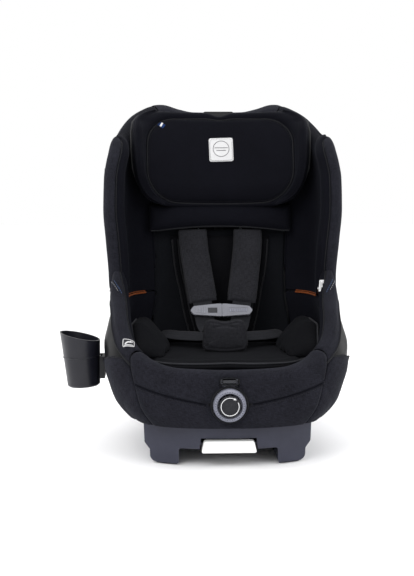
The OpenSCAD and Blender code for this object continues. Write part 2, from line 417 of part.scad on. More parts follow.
// ---------- headrest, slides along the back ----------
function hw(t) = lookup(t, [[283,128],[292,152],[306,168],[325,179],[350,186],[400,188],[440,187],[458,179],[470,165],[478,148]]) * head_w / 188;
function HP(th, t, ox, y0, yb) = [(hw(t) - ox) * sgn0(cos(th)) * pow(abs(cos(th)), 0.8), y0 + (yb - y0) * pow(abs(sin(th)), 0.8), t];
function sgn0(v) = v < 0 ? -1 : 1;
function hy(t, d) = lookup(t, [[283, -64], [300, -82], [330, -104], [370, -114], [420, -112], [450, -96], [470, -76], [480, -62]]) + d;
hth = [0, 12, 24, 36, 50, 65, 80, 90, 100, 115, 130, 144, 156, 168, 180];
hz = [283, 290, 302, 320, 345, 380, 420, 445, 462, 474, 480];
module headrest_frame() color("#1b1c20") back() sheet(
  [for (th = hth) [for (t = hz) HP(th, t, 6, hy(t, 16), -17)]], [for (th = hth) [for (t = hz) HP(th, t, 2.5, hy(t, 16), -13.5)]]);
module headrest_pad() color("#24262e") back() sheet(
  [for (th = hth) [for (t = hz) HP(th, t, 22, hy(t, 0), lookup(t, [[283, -40], [300, -50], [320, -54], [450, -54], [470, -46], [480, -36]]))]], [for (th = hth) [for (t = hz) HP(th, t, 6.3, hy(t, 6), -17.3)]]);
module headrest_carrier() color("#1b1c20") back() difference() {
  union() { translate([-56, 12, 300]) cube([112, 14, 50]); translate([-30, -13.2, 305]) cube([60, 26, 40]); }
  both() translate([rod_x, rod_y, 290]) cylinder(r = rod_r + rod_gap, h = 70, $fn = 40);
}
module shoulder_band() color("#2c2d33") back() translate([0, -28, 255]) rotate([90, 0, 0]) translate([0, 0, -9]) linear_extrude(18) polygon(rpoly([[-146, -26, 6], [0, -20, 90], [146, -26, 6], [147, 26.5, 8], [-147, 26.5, 8]]));
module headrest_labels() color(white) back() {
  translate([2.5, -55.6, 392]) slab(50, 50, 1.2, 5);
  translate([-120, -72.5, 442]) rotate([0, 0, -18]) rotate([0, 45, 0]) slab(11, 9, 1, 1);
}
module headrest_lever() color("#17181b") back() {
  translate([0, -9, 482]) slab(64, 11, 8, 4);
  translate([0, -8.5, 425]) slab(16, 104, 2.4, 2);
}

// ---------- cup holder ----------
cup_x = -280; cup_y = -90;
module cup_socket() color("#17181b") difference() {
  translate([-241.4, cup_y - 20, 145]) cube([9.6, 40, 42]);
  translate([-240.2, cup_y - 14.3, 147]) cube([3, 28.6, 60]);
  translate([-245, cup_y - 8.3, 147]) cube([6, 16.6, 60]);
  for (y = [-97, -83]) translate([-250, y, 166]) rotate([0, 90, 0]) cylinder(r = 2, h = 30, $fn = 24);
}
module cup_holder() color("#1f2024") {
  difference() {
    translate([cup_x + 7, cup_y, 128]) rotate([0, -3.5, 0]) difference() {
      rotate_extrude($fn = 96) polygon([[0, 0], [cup_r0 - 3, 0], [cup_r0, 3], [cup_r - 0.6, 106], [cup_r + 1.2, 112], [cup_r - 1, 114], [cup_r - cup_t - 0.6, 106], [cup_r0 - cup_t, 4.5], [0, 2.6]]);
      translate([0, 0, 97]) rotate([0, 15.5, 0]) translate([-100, -100, 0]) cube([200, 200, 60]);
    }
    // nothing stands proud inside the socket
    translate([-242, cup_y - 22, 120]) cube([60, 44, 68]);
  }
  translate([-239.9, cup_y - 14, 147.3]) cube([2.4, 28, 33]);
  translate([-247.5, cup_y - 8, 147.3]) cube([9, 16, 33]);
}

base_shell();
foot_pads();
base_cross_tube();
base_screws();
recline_handle();
latch_bar();
handle_spring();
seat_shell();
seat_deck();
glide_pan();
recline_rack();
rear_cover();
shell_screws();
side_foam_left();
side_foam_right();
back_foam();
wing_cover_left();
wing_cover_right();
hip_cover_left();
hip_cover_right();
apron_cover();
top_cover();
seat_cushion();
back_pad();
insert_seat_pad();
insert_bolster_left();
insert_bolster_right();
insert_back_pad();
belt_guides();
side_pods();
side_labels();
shoulder_straps();
lap_straps();
rear_webbing();
harness_yoke();
shoulder_pads();
crotch_strap();
crotch_pad();
buckle_body();
buckle_tongues();
buckle_button();
chest_clip_right();
chest_clip_left();
chest_clip_button();
dial_housing();
tension_dial();
dial_spool();
release_lever();
release_pin();
guide_rods();
rod_brackets();
height_rack();
headrest_frame();
headrest_pad();
headrest_carrier();
shoulder_band();
headrest_labels();
headrest_lever();
cup_socket();
cup_holder();
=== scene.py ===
import bpy, bmesh, json, math
import numpy as np
from mathutils import Vector, Matrix
from mathutils.bvhtree import BVHTree


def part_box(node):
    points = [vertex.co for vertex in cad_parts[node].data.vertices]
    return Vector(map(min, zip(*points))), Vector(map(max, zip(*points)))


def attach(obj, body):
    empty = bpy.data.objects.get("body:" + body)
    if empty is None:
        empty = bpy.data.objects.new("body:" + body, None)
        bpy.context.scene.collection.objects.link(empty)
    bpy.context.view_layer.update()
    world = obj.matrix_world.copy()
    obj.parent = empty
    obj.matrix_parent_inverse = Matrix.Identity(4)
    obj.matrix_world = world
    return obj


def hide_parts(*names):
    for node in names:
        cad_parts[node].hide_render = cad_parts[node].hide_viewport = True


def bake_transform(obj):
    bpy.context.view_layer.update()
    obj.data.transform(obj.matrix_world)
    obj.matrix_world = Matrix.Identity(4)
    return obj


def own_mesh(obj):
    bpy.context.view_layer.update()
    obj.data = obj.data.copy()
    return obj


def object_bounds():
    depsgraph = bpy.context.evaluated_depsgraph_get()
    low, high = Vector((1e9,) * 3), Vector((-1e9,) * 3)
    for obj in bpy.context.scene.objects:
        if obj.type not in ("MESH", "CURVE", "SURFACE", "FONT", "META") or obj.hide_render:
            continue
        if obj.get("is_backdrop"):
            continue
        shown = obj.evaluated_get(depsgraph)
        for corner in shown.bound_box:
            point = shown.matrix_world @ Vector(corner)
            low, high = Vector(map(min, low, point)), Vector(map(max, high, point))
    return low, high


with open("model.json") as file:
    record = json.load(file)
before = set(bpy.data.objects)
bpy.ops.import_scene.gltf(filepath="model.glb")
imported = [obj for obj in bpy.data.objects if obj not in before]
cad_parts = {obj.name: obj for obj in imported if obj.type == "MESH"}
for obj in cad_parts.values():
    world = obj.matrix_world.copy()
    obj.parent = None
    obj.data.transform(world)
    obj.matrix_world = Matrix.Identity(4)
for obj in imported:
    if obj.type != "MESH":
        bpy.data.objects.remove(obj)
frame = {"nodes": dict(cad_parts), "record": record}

CAD_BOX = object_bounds()
CAD_BOX = [list(CAD_BOX[0]), list(CAD_BOX[1])]
MM = 0.001
scene = bpy.context.scene

# ------------------------------------------------------------------ camera, light, floor
cam_data = bpy.data.cameras.new("camera")
cam = bpy.data.objects.new("camera", cam_data)
scene.collection.objects.link(cam)
cam_data.sensor_width = 36.0
cam_data.lens = 72.375
cam_data.clip_start, cam_data.clip_end = 0.1, 30.0
cam.location = (-0.1246, -2.297, 0.595)
cam.rotation_euler = (math.radians(90 - 7.2), 0.0, math.radians(-2.32))
scene.camera = cam
scene.view_settings.view_transform = "Standard"
scene.view_settings.look = "None"


def area_light(name, loc, target, size, power, colour=(1, 1, 1), size_y=None):
    data = bpy.data.lights.new(name, "AREA")
    data.energy = power
    data.color = colour
    data.size = size
    if size_y:
        data.shape = "RECTANGLE"
        data.size_y = size_y
    ob = bpy.data.objects.new(name, data)
    scene.collection.objects.link(ob)
    ob.location = loc
    ob.rotation_euler = (Vector(target) - Vector(loc)).to_track_quat("-Z", "Y").to_euler()
    return ob


area_light("key_light", (-1.3, -1.9, 2.1), (0, 0, 0.35), 1.5, 26, (1.0, 0.99, 0.98))
area_light("fill_light", (1.7, -1.5, 1.5), (0, 0, 0.3), 1.5, 13, (0.97, 0.98, 1.0))
area_light("side_left", (-1.6, 0.25, 0.75), (0, 0, 0.4), 1.1, 12, (1, 1, 1))
area_light("side_right", (1.6, 0.25, 0.75), (0, 0, 0.4), 1.1, 12, (1, 1, 1))
area_light("top_light", (0, 0.3, 2.3), (0, 0, 0.3), 1.8, 12, (1, 1, 1))
sun = bpy.data.lights.new("sky_light", "SUN")
sun.energy = 0.55
sun.angle = math.radians(60)
sun_ob = bpy.data.objects.new("sky_light", sun)
scene.collection.objects.link(sun_ob)
sun_ob.rotation_euler = (math.radians(12), math.radians(-8), 0)

world = bpy.data.worlds.new("studio")
scene.world = world
world.use_nodes = True
world.node_tree.nodes["Background"].inputs[0].default_value = (1.0, 1.0, 1.0, 1)
world.node_tree.nodes["Background"].inputs[1].default_value = 1.0


# ------------------------------------------------------------------ node helpers
class Mat:
    """Small wrapper that builds a principled material from nodes."""

    def __init__(self, name):
        self.m = bpy.data.materials.new(name)
        self.m.use_nodes = True
        self.t = self.m.node_tree
        self.p = self.t.nodes["Principled BSDF"]
        self.out = self.t.nodes["Material Output"]

    def n(self, kind, **kw):
        nd = self.t.nodes.new(kind)
        for k, v in kw.items():
            setattr(nd, k, v)
        return nd

    def link(self, a, b):
        self.t.links.new(a, b)

    def math(self, op, a, b=None, c=None, clamp=False):
        nd = self.n("ShaderNodeMath", operation=op, use_clamp=clamp)
        for i, v in enumerate((a, b, c)):
            if v is None:
                continue
            if isinstance(v, (int, float)):
                nd.inputs[i].default_value = v
            else:
                self.link(v, nd.inputs[i])
        return nd.outputs[0]

    def noise(self, vec, scale, detail=3.0, rough=0.55, dims=None):
        mp = vec
        if dims:
            mapping = self.n("ShaderNodeMapping")
            mapping.inputs["Scale"].default_value = dims
            self.link(vec, mapping.inputs["Vector"])
            mp = mapping.outputs[0]
        nd = self.n("ShaderNodeTexNoise")
        nd.inputs["Scale"].default_value = scale
        nd.inputs["Detail"].default_value = detail
        nd.inputs["Roughness"].default_value = rough
        self.link(mp, nd.inputs["Vector"])
        return nd.outputs[0]

    def ramp(self, fac, stops):
        nd = self.n("ShaderNodeValToRGB")
        el = nd.color_ramp.elements
        while len(el) < len(stops):
            el.new(0.5)
        for e, (pos, col) in zip(el, stops):
            e.position = pos
            e.color = (*col, 1) if len(col) == 3 else col
        self.link(fac, nd.inputs[0])
        return nd.outputs[0]

    def maprange(self, v, a, b, c, d):
        nd = self.n("ShaderNodeMapRange")
        for k, val in zip(("From Min", "From Max", "To Min", "To Max"), (a, b, c, d)):
            nd.inputs[k].default_value = val
        self.link(v, nd.inputs["Value"])
        return nd.outputs[0]

    def mixcol(self, fac, a, b, mode="MIX"):
        nd = self.n("ShaderNodeMix", data_type="RGBA", blend_type=mode)
        for sock, v in ((nd.inputs[0], fac), (nd.inputs[6], a), (nd.inputs[7], b)):
            if isinstance(v, (int, float)):
                sock.default_value = v
            elif isinstance(v, tuple):
                sock.default_value = (*v, 1) if len(v) == 3 else v
            else:
                self.link(v, sock)
        return nd.outputs[2]

    def bump(self, height, strength, dist, normal=None):
        nd = self.n("ShaderNodeBump")
        nd.inputs["Strength"].default_value = strength
        nd.inputs["Distance"].default_value = dist
        self.link(height, nd.inputs["Height"])
        if normal is not None:
            self.link(normal, nd.inputs["Normal"])
        return nd.outputs[0]


def obj_mm(m):
    """Object coordinates in millimetres."""
    tc = m.n("ShaderNodeTexCoord")
    mp = m.n("ShaderNodeMapping")
    mp.inputs["Scale"].default_value = (1000, 1000, 1000)
    m.link(tc.outputs["Object"], mp.inputs["Vector"])
    return mp.outputs[0]


def cloth_mm(m):
    """Cloth coordinates along warp and weft, in millimetres, kept on the mesh."""
    at = m.n("ShaderNodeAttribute", attribute_name="wv")
    return at.outputs["Vector"]


def split(m, vec):
    nd = m.n("ShaderNodeSeparateXYZ")
    m.link(vec, nd.inputs[0])
    return nd.outputs


def fabric(name, dark, light, pitch=1.1, bump=0.5, sheen=0.25, sheen_tint=(1, 1, 1), melange=1.0, rough=0.85, kind="weave", fuzz=0.5):
    m = Mat(name)
    v = cloth_mm(m)
    x, y, _ = split(m, v)
    ov = obj_mm(m)
    a = m.math("SINE", m.math("MULTIPLY", x, math.pi / pitch))
    b = m.math("SINE", m.math("MULTIPLY", y, math.pi / pitch))
    if kind == "weave":
        thread = m.math("MULTIPLY", a, b)
        thread = m.maprange(thread, -1, 1, 0, 1)
    elif kind == "knit":
        # columns of small V loops
        fold = m.math("ABSOLUTE", a)
        yy = m.math("ADD", m.math("MULTIPLY", y, math.pi / (pitch * 0.8)), m.math("MULTIPLY", fold, 1.6))
        thread = m.math("MULTIPLY", m.maprange(m.math("SINE", yy), -1, 1, 0.3, 1), fold)
    elif kind == "rib":
        rib = m.math("ABSOLUTE", b)
        fine = m.maprange(m.math("SINE", m.math("MULTIPLY", x, math.pi / (pitch * 0.45))), -1, 1, 0.7, 1)
        thread = m.math("MULTIPLY", rib, fine)
    else:
        # webbing: herringbone across the width
        tri = m.math("PINGPONG", x, 4.6)
        d = m.math("ADD", y, m.math("MULTIPLY", tri, 1.0))
        thread = m.maprange(m.math("SINE", m.math("MULTIPLY", d, 2 * math.pi / (pitch * 1.7))), -1, 1, 0, 1)
    warp = m.noise(v, 1.0, 2.0, 0.6, dims=(0.9, 0.11, 1))
    weft = m.noise(v, 1.0, 2.0, 0.6, dims=(0.11, 0.9, 1))
    mel = m.math("ADD", m.math("MULTIPLY", warp, 0.5), m.math("MULTIPLY", weft, 0.5))
    mel = m.maprange(mel, 0.40, 0.60, 0.5 - 0.5 * melange, 0.5 + 0.5 * melange)
    big = m.maprange(m.noise(ov, 0.018, 3.0), 0.3, 0.7, -0.12, 0.12)
    fac = m.math("ADD", m.math("ADD", m.math("MULTIPLY", mel, 0.65), m.math("MULTIPLY", thread, 0.30)), big, clamp=True)
    mid = tuple((p + q) / 2 for p, q in zip(dark, light))
    col = m.ramp(fac, [(0.0, dark), (0.5, mid), (1.0, light)])
    m.link(col, m.p.inputs["Base Color"])
    fz = m.noise(ov, 1.4, 4.0, 0.7)
    m.link(m.maprange(fz, 0.3, 0.7, rough - 0.07, min(rough + 0.07, 1.0)), m.p.inputs["Roughness"])
    n1 = m.bump(fz, 0.18 * fuzz, 0.0004)
    n2 = m.bump(thread, bump, 0.00035, n1)
    m.link(n2, m.p.inputs["Normal"])
    m.p.inputs["Sheen Weight"].default_value = sheen
    m.p.inputs["Sheen Roughness"].default_value = 0.45
    m.p.inputs["Sheen Tint"].default_value = (*sheen_tint, 1)
    m.p.inputs["Specular IOR Level"].default_value = 0.07
    return m.m


def plastic(name, col, rough=0.45, grain=0.25, grain_mm=0.55, edge_wear_and_highlight=0.35, coat=0.0, spec=0.5, var=0.12):
    m = Mat(name)
    ov = obj_mm(m)
    big = m.noise(ov, 0.02, 3.0)
    dark = tuple(c * (1 - var) for c in col)
    lite = tuple(min(c * (1 + var) + 0.002, 1) for c in col)
    base = m.ramp(big, [(0.3, dark), (0.7, lite)])
    # Convex edges are mixed towards a lighter colour: partly edge wear, partly a painted highlight along the edges.
    geo = m.n("ShaderNodeNewGeometry")
    edge = m.maprange(geo.outputs["Pointiness"], 0.515, 0.60, 0.0, 1.0)
    edge_scuff_and_highlight = m.math("MULTIPLY", edge, m.maprange(m.noise(ov, 0.12, 4.0, 0.7), 0.42, 0.62, 0.15, 1.0), clamp=True)
    worn_and_lit_edge_colour = tuple(min(c * 1.9 + 0.02, 1) for c in col)
    base = m.mixcol(m.math("MULTIPLY", edge_scuff_and_highlight, edge_wear_and_highlight), base, worn_and_lit_edge_colour)
    m.link(base, m.p.inputs["Base Color"])
    smudge = m.noise(ov, 0.05, 4.0, 0.6)
    m.link(m.maprange(smudge, 0.3, 0.7, rough * 0.86, min(rough * 1.14, 1.0)), m.p.inputs["Roughness"])
    g = m.noise(ov, 1.0 / grain_mm, 2.0, 0.5)
    m.link(m.bump(g, grain, 0.00012), m.p.inputs["Normal"])
    m.p.inputs["Specular IOR Level"].default_value = spec
    m.p.inputs["Coat Weight"].default_value = coat
    m.p.inputs["Coat Roughness"].default_value = 0.12
    return m.m


def metal(name, col, rough=0.35, dims=(0.02, 0.9, 0.9)):
    m = Mat(name)
    ov = obj_mm(m)
    br = m.noise(ov, 1.0, 3.0, 0.6, dims=dims)
    cloud = m.noise(ov, 0.05, 3.0)
    base = m.ramp(cloud, [(0.3, tuple(c * 0.82 for c in col)), (0.7, col)])
    m.link(base, m.p.inputs["Base Color"])
    m.link(m.maprange(br, 0.3, 0.7, rough * 0.75, rough * 1.25), m.p.inputs["Roughness"])
    m.link(m.bump(br, 0.12, 0.0001), m.p.inputs["Normal"])
    m.p.inputs["Metallic"].default_value = 1.0
    return m.m


MATS = {
    "woven": fabric("woven_melange", (0.0027, 0.0028, 0.0041), (0.0168, 0.0171, 0.0240), pitch=1.25, bump=0.55, sheen=0.03, sheen_tint=(0.8, 0.85, 1.0), melange=1.0),
    "jersey": fabric("jersey_navy", (0.0012, 0.0013, 0.0026), (0.0038, 0.0040, 0.0072), pitch=0.9, bump=0.3, sheen=0.016, sheen_tint=(0.75, 0.8, 1.0), melange=0.45, kind="knit"),
    "insert": fabric("insert_jersey", (0.0011, 0.0012, 0.0018), (0.0031, 0.0032, 0.0046), pitch=1.0, bump=0.3, sheen=0.016, sheen_tint=(0.85, 0.9, 1.0), melange=0.45, kind="knit"),
    "panel": fabric("back_jersey", (0.0020, 0.0024, 0.0034), (0.0056, 0.0062, 0.0084), pitch=1.0, bump=0.3, sheen=0.016, sheen_tint=(0.85, 0.9, 1.0), melange=0.45, kind="knit"),
    "piping": fabric("piping_cord", (0.0060, 0.0062, 0.0074), (0.017, 0.0175, 0.020), pitch=0.8, bump=0.35, sheen=0.05, melange=0.5),
    "piping_light": fabric("insert_piping", (0.0125, 0.0128, 0.0150), (0.034, 0.035, 0.040), pitch=0.8, bump=0.35, sheen=0.05, melange=0.5),
    "ribpad": fabric("ribbed_pad", (0.0055, 0.0056, 0.0068), (0.020, 0.0203, 0.0245), pitch=2.6, bump=0.6, sheen=0.03, melange=0.9, kind="rib"),
    "webbing": fabric("webbing_weave", (0.0060, 0.0062, 0.0078), (0.022, 0.0228, 0.027), pitch=1.4, bump=0.5, sheen=0.03, melange=0.3, kind="web", rough=0.7),
    "orange": fabric("orange_binding", (0.10, 0.022, 0.005), (0.24, 0.065, 0.018), pitch=0.8, bump=0.4, sheen=0.05, melange=0.6),
    "label": fabric("label_satin", (0.50, 0.50, 0.51), (0.66, 0.66, 0.66), pitch=0.5, bump=0.15, sheen=0.02, melange=0.35, rough=0.6),
    "navy": fabric("tag_navy", (0.006, 0.018, 0.070), (0.014, 0.036, 0.12), pitch=0.5, bump=0.2, sheen=0.03, melange=0.4),
    "print": plastic("label_print", (0.06, 0.06, 0.065), 0.6, 0.05, edge_wear_and_highlight=0.0),
    "thread": fabric("thread_dark", (0.0070, 0.0073, 0.009), (0.019, 0.0195, 0.023), pitch=0.35, bump=0.2, sheen=0.05, melange=0.3),
    "thread_white": fabric("thread_white", (0.36, 0.37, 0.41), (0.55, 0.56, 0.60), pitch=0.35, bump=0.2, sheen=0.05, melange=0.3),
    "thread_blue": fabric("thread_blue", (0.08, 0.14, 0.32), (0.16, 0.26, 0.48), pitch=0.35, bump=0.2, sheen=0.05, melange=0.3),
    "gloss": plastic("shell_gloss", (0.0020, 0.0021, 0.0028), 0.40, 0.03, edge_wear_and_highlight=0.10, coat=0.0, spec=0.10),
    "inner": plastic("inner_matte", (0.0065, 0.0068, 0.0082), 0.52, 0.35, edge_wear_and_highlight=0.3, spec=0.25),
    "rear": plastic("rear_panel", (0.0080, 0.0083, 0.0100), 0.45, 0.45, grain_mm=0.8, edge_wear_and_highlight=0.3, spec=0.3),
    "base": plastic("base_plastic", (0.0235, 0.0250, 0.0410), 0.46, 0.40, grain_mm=0.7, edge_wear_and_highlight=0.35, spec=0.3),
    "rubber": plastic("sole_rubber", (0.0055, 0.0055, 0.0065), 0.85, 0.5, edge_wear_and_highlight=0.2, spec=0.2),
    "handle": plastic("handle_offwhite", (0.74, 0.745, 0.735), 0.35, 0.08, edge_wear_and_highlight=0.0, coat=0.1, var=0.03),
    "clip": plastic("clip_grey", (0.165, 0.169, 0.195), 0.34, 0.22, edge_wear_and_highlight=0.5, spec=0.4),
    "clip_dark": plastic("clip_recess", (0.020, 0.021, 0.026), 0.45, 0.3, edge_wear_and_highlight=0.2, spec=0.3),
    "ring": plastic("dial_ring", (0.165, 0.170, 0.212), 0.36, 0.2, edge_wear_and_highlight=0.4, spec=0.4),
    "knob": plastic("dial_knob", (0.0065, 0.0067, 0.0100), 0.42, 0.3, edge_wear_and_highlight=0.3, spec=0.25),
    "ink": plastic("dial_line", (0.66, 0.66, 0.67), 0.5, 0.02, edge_wear_and_highlight=0.0, var=0.03),
    "red": plastic("buckle_red", (0.30, 0.014, 0.012), 0.33, 0.1, edge_wear_and_highlight=0.2, coat=0.1),
    "cup": plastic("cup_satin", (0.0070, 0.0072, 0.0118), 0.36, 0.15, edge_wear_and_highlight=0.3, coat=0.0, spec=0.32),
    "steel": metal("zinc_steel", (0.42, 0.43, 0.45), 0.40),
    "foam": plastic("bead_foam", (0.018, 0.0185, 0.021), 0.8, 0.8, grain_mm=3.0, edge_wear_and_highlight=0.0, var=0.15, spec=0.2),
}

# floor
floor = bpy.data.meshes.new("floor")
floor.from_pydata([(-6, -6, 0), (6, -6, 0), (6, 6, 0), (-6, 6, 0)], [], [(0, 1, 2, 3)])
floor_ob = bpy.data.objects.new("floor", floor)
scene.collection.objects.link(floor_ob)
mf = Mat("floor_pale")
fn = mf.noise(obj_mm(mf), 0.004, 2.0)
mf.link(mf.ramp(fn, [(0.3, (0.905, 0.905, 0.915)), (0.7, (0.925, 0.925, 0.935))]), mf.p.inputs["Base Color"])
mf.p.inputs["Roughness"].default_value = 0.55
mf.p.inputs["Specular IOR Level"].default_value = 0.25
floor.materials.append(mf.m)
floor_ob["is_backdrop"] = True


# ------------------------------------------------------------------ curves and tables of the seat
def pchip(tab):
    x = np.array([t[0] for t in tab], float)
    y = np.array([t[1] for t in tab], float)
    h = np.diff(x)
    d = np.diff(y) / h
    m = np.zeros_like(y)
    for i in range(1, len(x) - 1):
        if d[i - 1] * d[i] > 0:
            w1, w2 = 2 * h[i] + h[i - 1], h[i] + 2 * h[i - 1]
            m[i] = (w1 + w2) / (w1 / d[i - 1] + w2 / d[i])
    m[0], m[-1] = d[0], d[-1]

    def f(q):
        q = np.clip(np.asarray(q, float), x[0], x[-1])
        i = np.clip(np.searchsorted(x, q, side="right") - 1, 0, len(x) - 2)
        t = (q - x[i]) / h[i]
        return (1 + 2 * t) * (1 - t) ** 2 * y[i] + t * (1 - t) ** 2 * h[i] * m[i] + t * t * (3 - 2 * t) * y[i + 1] + t * t * (t - 1) * h[i] * m[i + 1]

    return f


SQ = 0.55
LEAN = math.radians(15.4)
Wv = pchip([(60, 165), (78, 180), (88, 190), (100, 201), (115, 211), (130, 217), (145, 222), (170, 230), (190, 235), (215, 237), (245, 231), (280, 224), (335, 225), (400, 229), (465, 234), (525, 232.5), (553, 228), (576, 222.5), (600, 218), (620, 214.5), (650, 210), (690, 206)])
Yc = pchip([(60, -95), (200, -95), (240, -75), (272, -45), (300, -20), (318, -3), (340, 0), (400, -5), (500, -8), (560, 0), (592, 18), (620, 45), (645, 80), (690, 130)])
Yf = pchip([(60, -229), (78, -236), (100, -243), (124, -246), (150, -243), (174, -236), (200, -222), (240, -190), (280, -140), (318, -90)])
rim_h = pchip([(0, 318), (15, 290), (30, 255), (45, 220), (60, 192), (75, 178), (90, 174)])
top_h = pchip([(0, 656), (60, 657), (95, 663), (140, 673), (165, 670), (185, 662), (203, 650), (215, 636), (222, 624), (228, 605)])
apron_tab = pchip([(0, 84), (40, 80), (90, 75)])


def Yb(z):
    return 125 + (np.asarray(z, float) - 185) * math.tan(LEAN)


def sp(v):
    return np.sign(v) * np.abs(v) ** SQ


def P(th, z, ox, oy):
    th, z, ox, oy = np.broadcast_arrays(*[np.asarray(v, float) for v in (th, z, ox, oy)])
    c, s = np.cos(np.radians(th)), np.sin(np.radians(th))
    c = np.where(np.abs(c) < 1e-9, 0, c)
    s = np.where(np.abs(s) < 1e-9, 0, s)
    x = (Wv(z) - ox) * sp(c)
    y = Yc(z) + np.where(s >= 0, Yb(z) - oy - Yc(z), Yc(z) - Yf(z) - oy) * sp(s)
    return np.stack([x, y, z], -1)


def side_a(th):
    th = np.asarray(th, float)
    return np.where(th <= 270, th - 180, 360 - th)


def zr(th):
    return rim_h(side_a(th))


def ztop(th):
    q = np.abs(228 * sp(np.cos(np.radians(th))))
    return top_h(q)


def apron_lo(th):
    return apron_tab(side_a(th))


def th_of(q):
    q = np.asarray(q, float)
    return np.degrees(np.arccos(np.sign(q) * np.abs(q) ** (1 / SQ)))


def back_pt(p):
    """From the leaning frame of the back to the seat's frame."""
    p = np.asarray(p, float)
    c, s = math.cos(LEAN), math.sin(LEAN)
    x, y, z = p[..., 0], p[..., 1], p[..., 2]
    return np.stack([x, y * c + z * s + 70, -y * s + z * c + 185], -1)


def mix(a, b, k):
    return a + (b - a) * k


# ------------------------------------------------------------------ mesh helpers, all in millimetres
OBJ = {}


def make(name, verts, faces, mat, body=None, smooth=True, wv=None, mats=None, face_mat=None):
    me = bpy.data.meshes.new(name)
    me.from_pydata((np.asarray(verts, float) * MM).tolist(), [], [tuple(int(i) for i in f) for f in faces])
    me.update()
    for k in mats or [mat]:
        me.materials.append(MATS[k])
    if face_mat is not None:
        me.polygons.foreach_set("material_index", np.asarray(face_mat, np.int32))
    if smooth:
        me.polygons.foreach_set("use_smooth", np.ones(len(me.polygons), bool))
    if wv is not None:
        at = me.attributes.new("wv", "FLOAT_VECTOR", "POINT")
        w = np.zeros((len(me.vertices), 3), np.float32)
        w[: len(wv), : np.asarray(wv).shape[1]] = wv
        at.data.foreach_set("vector", w.ravel())
    ob = bpy.data.objects.new(name, me)
    scene.collection.objects.link(ob)
    if body:
        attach(ob, body)
    OBJ[name] = ob
    return ob


def grid_normals(G, wrap=False):
    if wrap:
        du = np.roll(G, -1, 0) - np.roll(G, 1, 0)
    else:
        du = np.gradient(G, axis=0)
    dv = np.gradient(G, axis=1)
    n = np.cross(du, dv)
    ln = np.linalg.norm(n, axis=-1, keepdims=True)
    ln[ln < 1e-9] = 1
    return n / ln


def arc(G):
    """Arc length along both directions of a grid, from its first row and column."""
    a = np.zeros(G.shape[:2])
    b = np.zeros(G.shape[:2])
    a[1:, :] = np.cumsum(np.linalg.norm(np.diff(G, axis=0), axis=-1), 0)
    b[:, 1:] = np.cumsum(np.linalg.norm(np.diff(G, axis=1), axis=-1), 1)
    return a, b


def grid_faces(nu, nv, keep=None, wrap=False, off_b=None):
    """Closed solid of two grids. Vertices 0..nu*nv-1 are the front, the rest the back."""
    N = nu * nv
    cu = nu if wrap else nu - 1
    K = np.ones((cu, nv - 1), bool) if keep is None else keep
    f = []

    def a(i, j):
        return (i % nu) * nv + j

    def k(i, j):
        if j < 0 or j >= nv - 1:
            return False
        if wrap:
            return K[i % cu, j]
        return 0 <= i < cu and K[i, j]

    for i in range(cu):
        for j in range(nv - 1):
            if not K[i, j]:
                continue
            f.append((a(i, j), a(i + 1, j), a(i + 1, j + 1), a(i, j + 1)))
            f.append((N + a(i, j), N + a(i, j + 1), N + a(i + 1, j + 1), N + a(i + 1, j)))
            if not k(i - 1, j):
                f.append((a(i, j), a(i, j + 1), N + a(i, j + 1), N + a(i, j)))
            if not k(i + 1, j):
                f.append((a(i + 1, j + 1), a(i + 1, j), N + a(i + 1, j), N + a(i + 1, j + 1)))
            if not k(i, j - 1):
                f.append((a(i + 1, j), a(i, j), N + a(i, j), N + a(i + 1, j)))
            if not k(i, j + 1):
                f.append((a(i, j + 1), a(i + 1, j + 1), N + a(i + 1, j + 1), N + a(i, j + 1)))
    return f


def signed_volume(V, F):
    v = 0.0
    V = np.asarray(V)
    for f in F:
        for t in range(1, len(f) - 1):
            v += np.dot(V[f[0]], np.cross(V[f[t]], V[f[t + 1]]))
    return v


def drop_unused(V, F, W):
    used = np.zeros(len(V), bool)
    for f in F:
        used[list(f)] = True
    idx = np.cumsum(used) - 1
    return np.asarray(V)[used], [tuple(idx[list(f)]) for f in F], (None if W is None else np.asarray(W)[used])


def solid(name, A, B, mat, body, keep=None, wrap=False, mats=None, cell_mat=None, wv=None, slot=None, lengths=True):
    """Closed solid between a seen grid A and a back grid B."""
    nu, nv = A.shape[:2]
    V = np.concatenate([A.reshape(-1, 3), B.reshape(-1, 3)])
    F = grid_faces(nu, nv, keep, wrap)
    if signed_volume(V, F) < 0:
        F = [tuple(reversed(f)) for f in F]
    if wv is None:
        a, b = arc(A)
        w = np.stack([a, b], -1).reshape(-1, 2)
        wv = np.concatenate([w, w])
    fm = None
    if cell_mat is not None:
        cm = np.asarray(cell_mat)
        fm = []
        cu = nu if wrap else nu - 1
        N = nu * nv
        for f in F:
            i = [v % N for v in f]
            ii = min(x // nv for x in i)
            jj = min(x % nv for x in i)
            fm.append(cm[min(ii, cu - 1), min(jj, nv - 2)])
    V, F, wv = drop_unused(V, F, wv)
    return make(name, V, F, mat, body, wv=wv, mats=mats, face_mat=fm)


def hem(nu_par, nv_par, Lu, Lv, r, edges="udlr"):
    """Rounding factor near the borders of a grid. 1 inside, 0 at a border; edges picks u0, u1, v0, v1."""
    e = np.full((len(nu_par), len(nv_par)), 1e9)
    u = np.asarray(nu_par)[:, None]
    v = np.asarray(nv_par)[None, :]
    if "l" in edges:
        e = np.minimum(e, u * Lu + 0 * v)
    if "r" in edges:
        e = np.minimum(e, (1 - u) * Lu + 0 * v)
    if "d" in edges:
        e = np.minimum(e, v * Lv + 0 * u)
    if "u" in edges:
        e = np.minimum(e, (1 - v) * Lv + 0 * u)
    q = np.clip(e / r, 0, 1)
    return np.sqrt(np.clip(1 - (1 - q) ** 2, 0, 1))


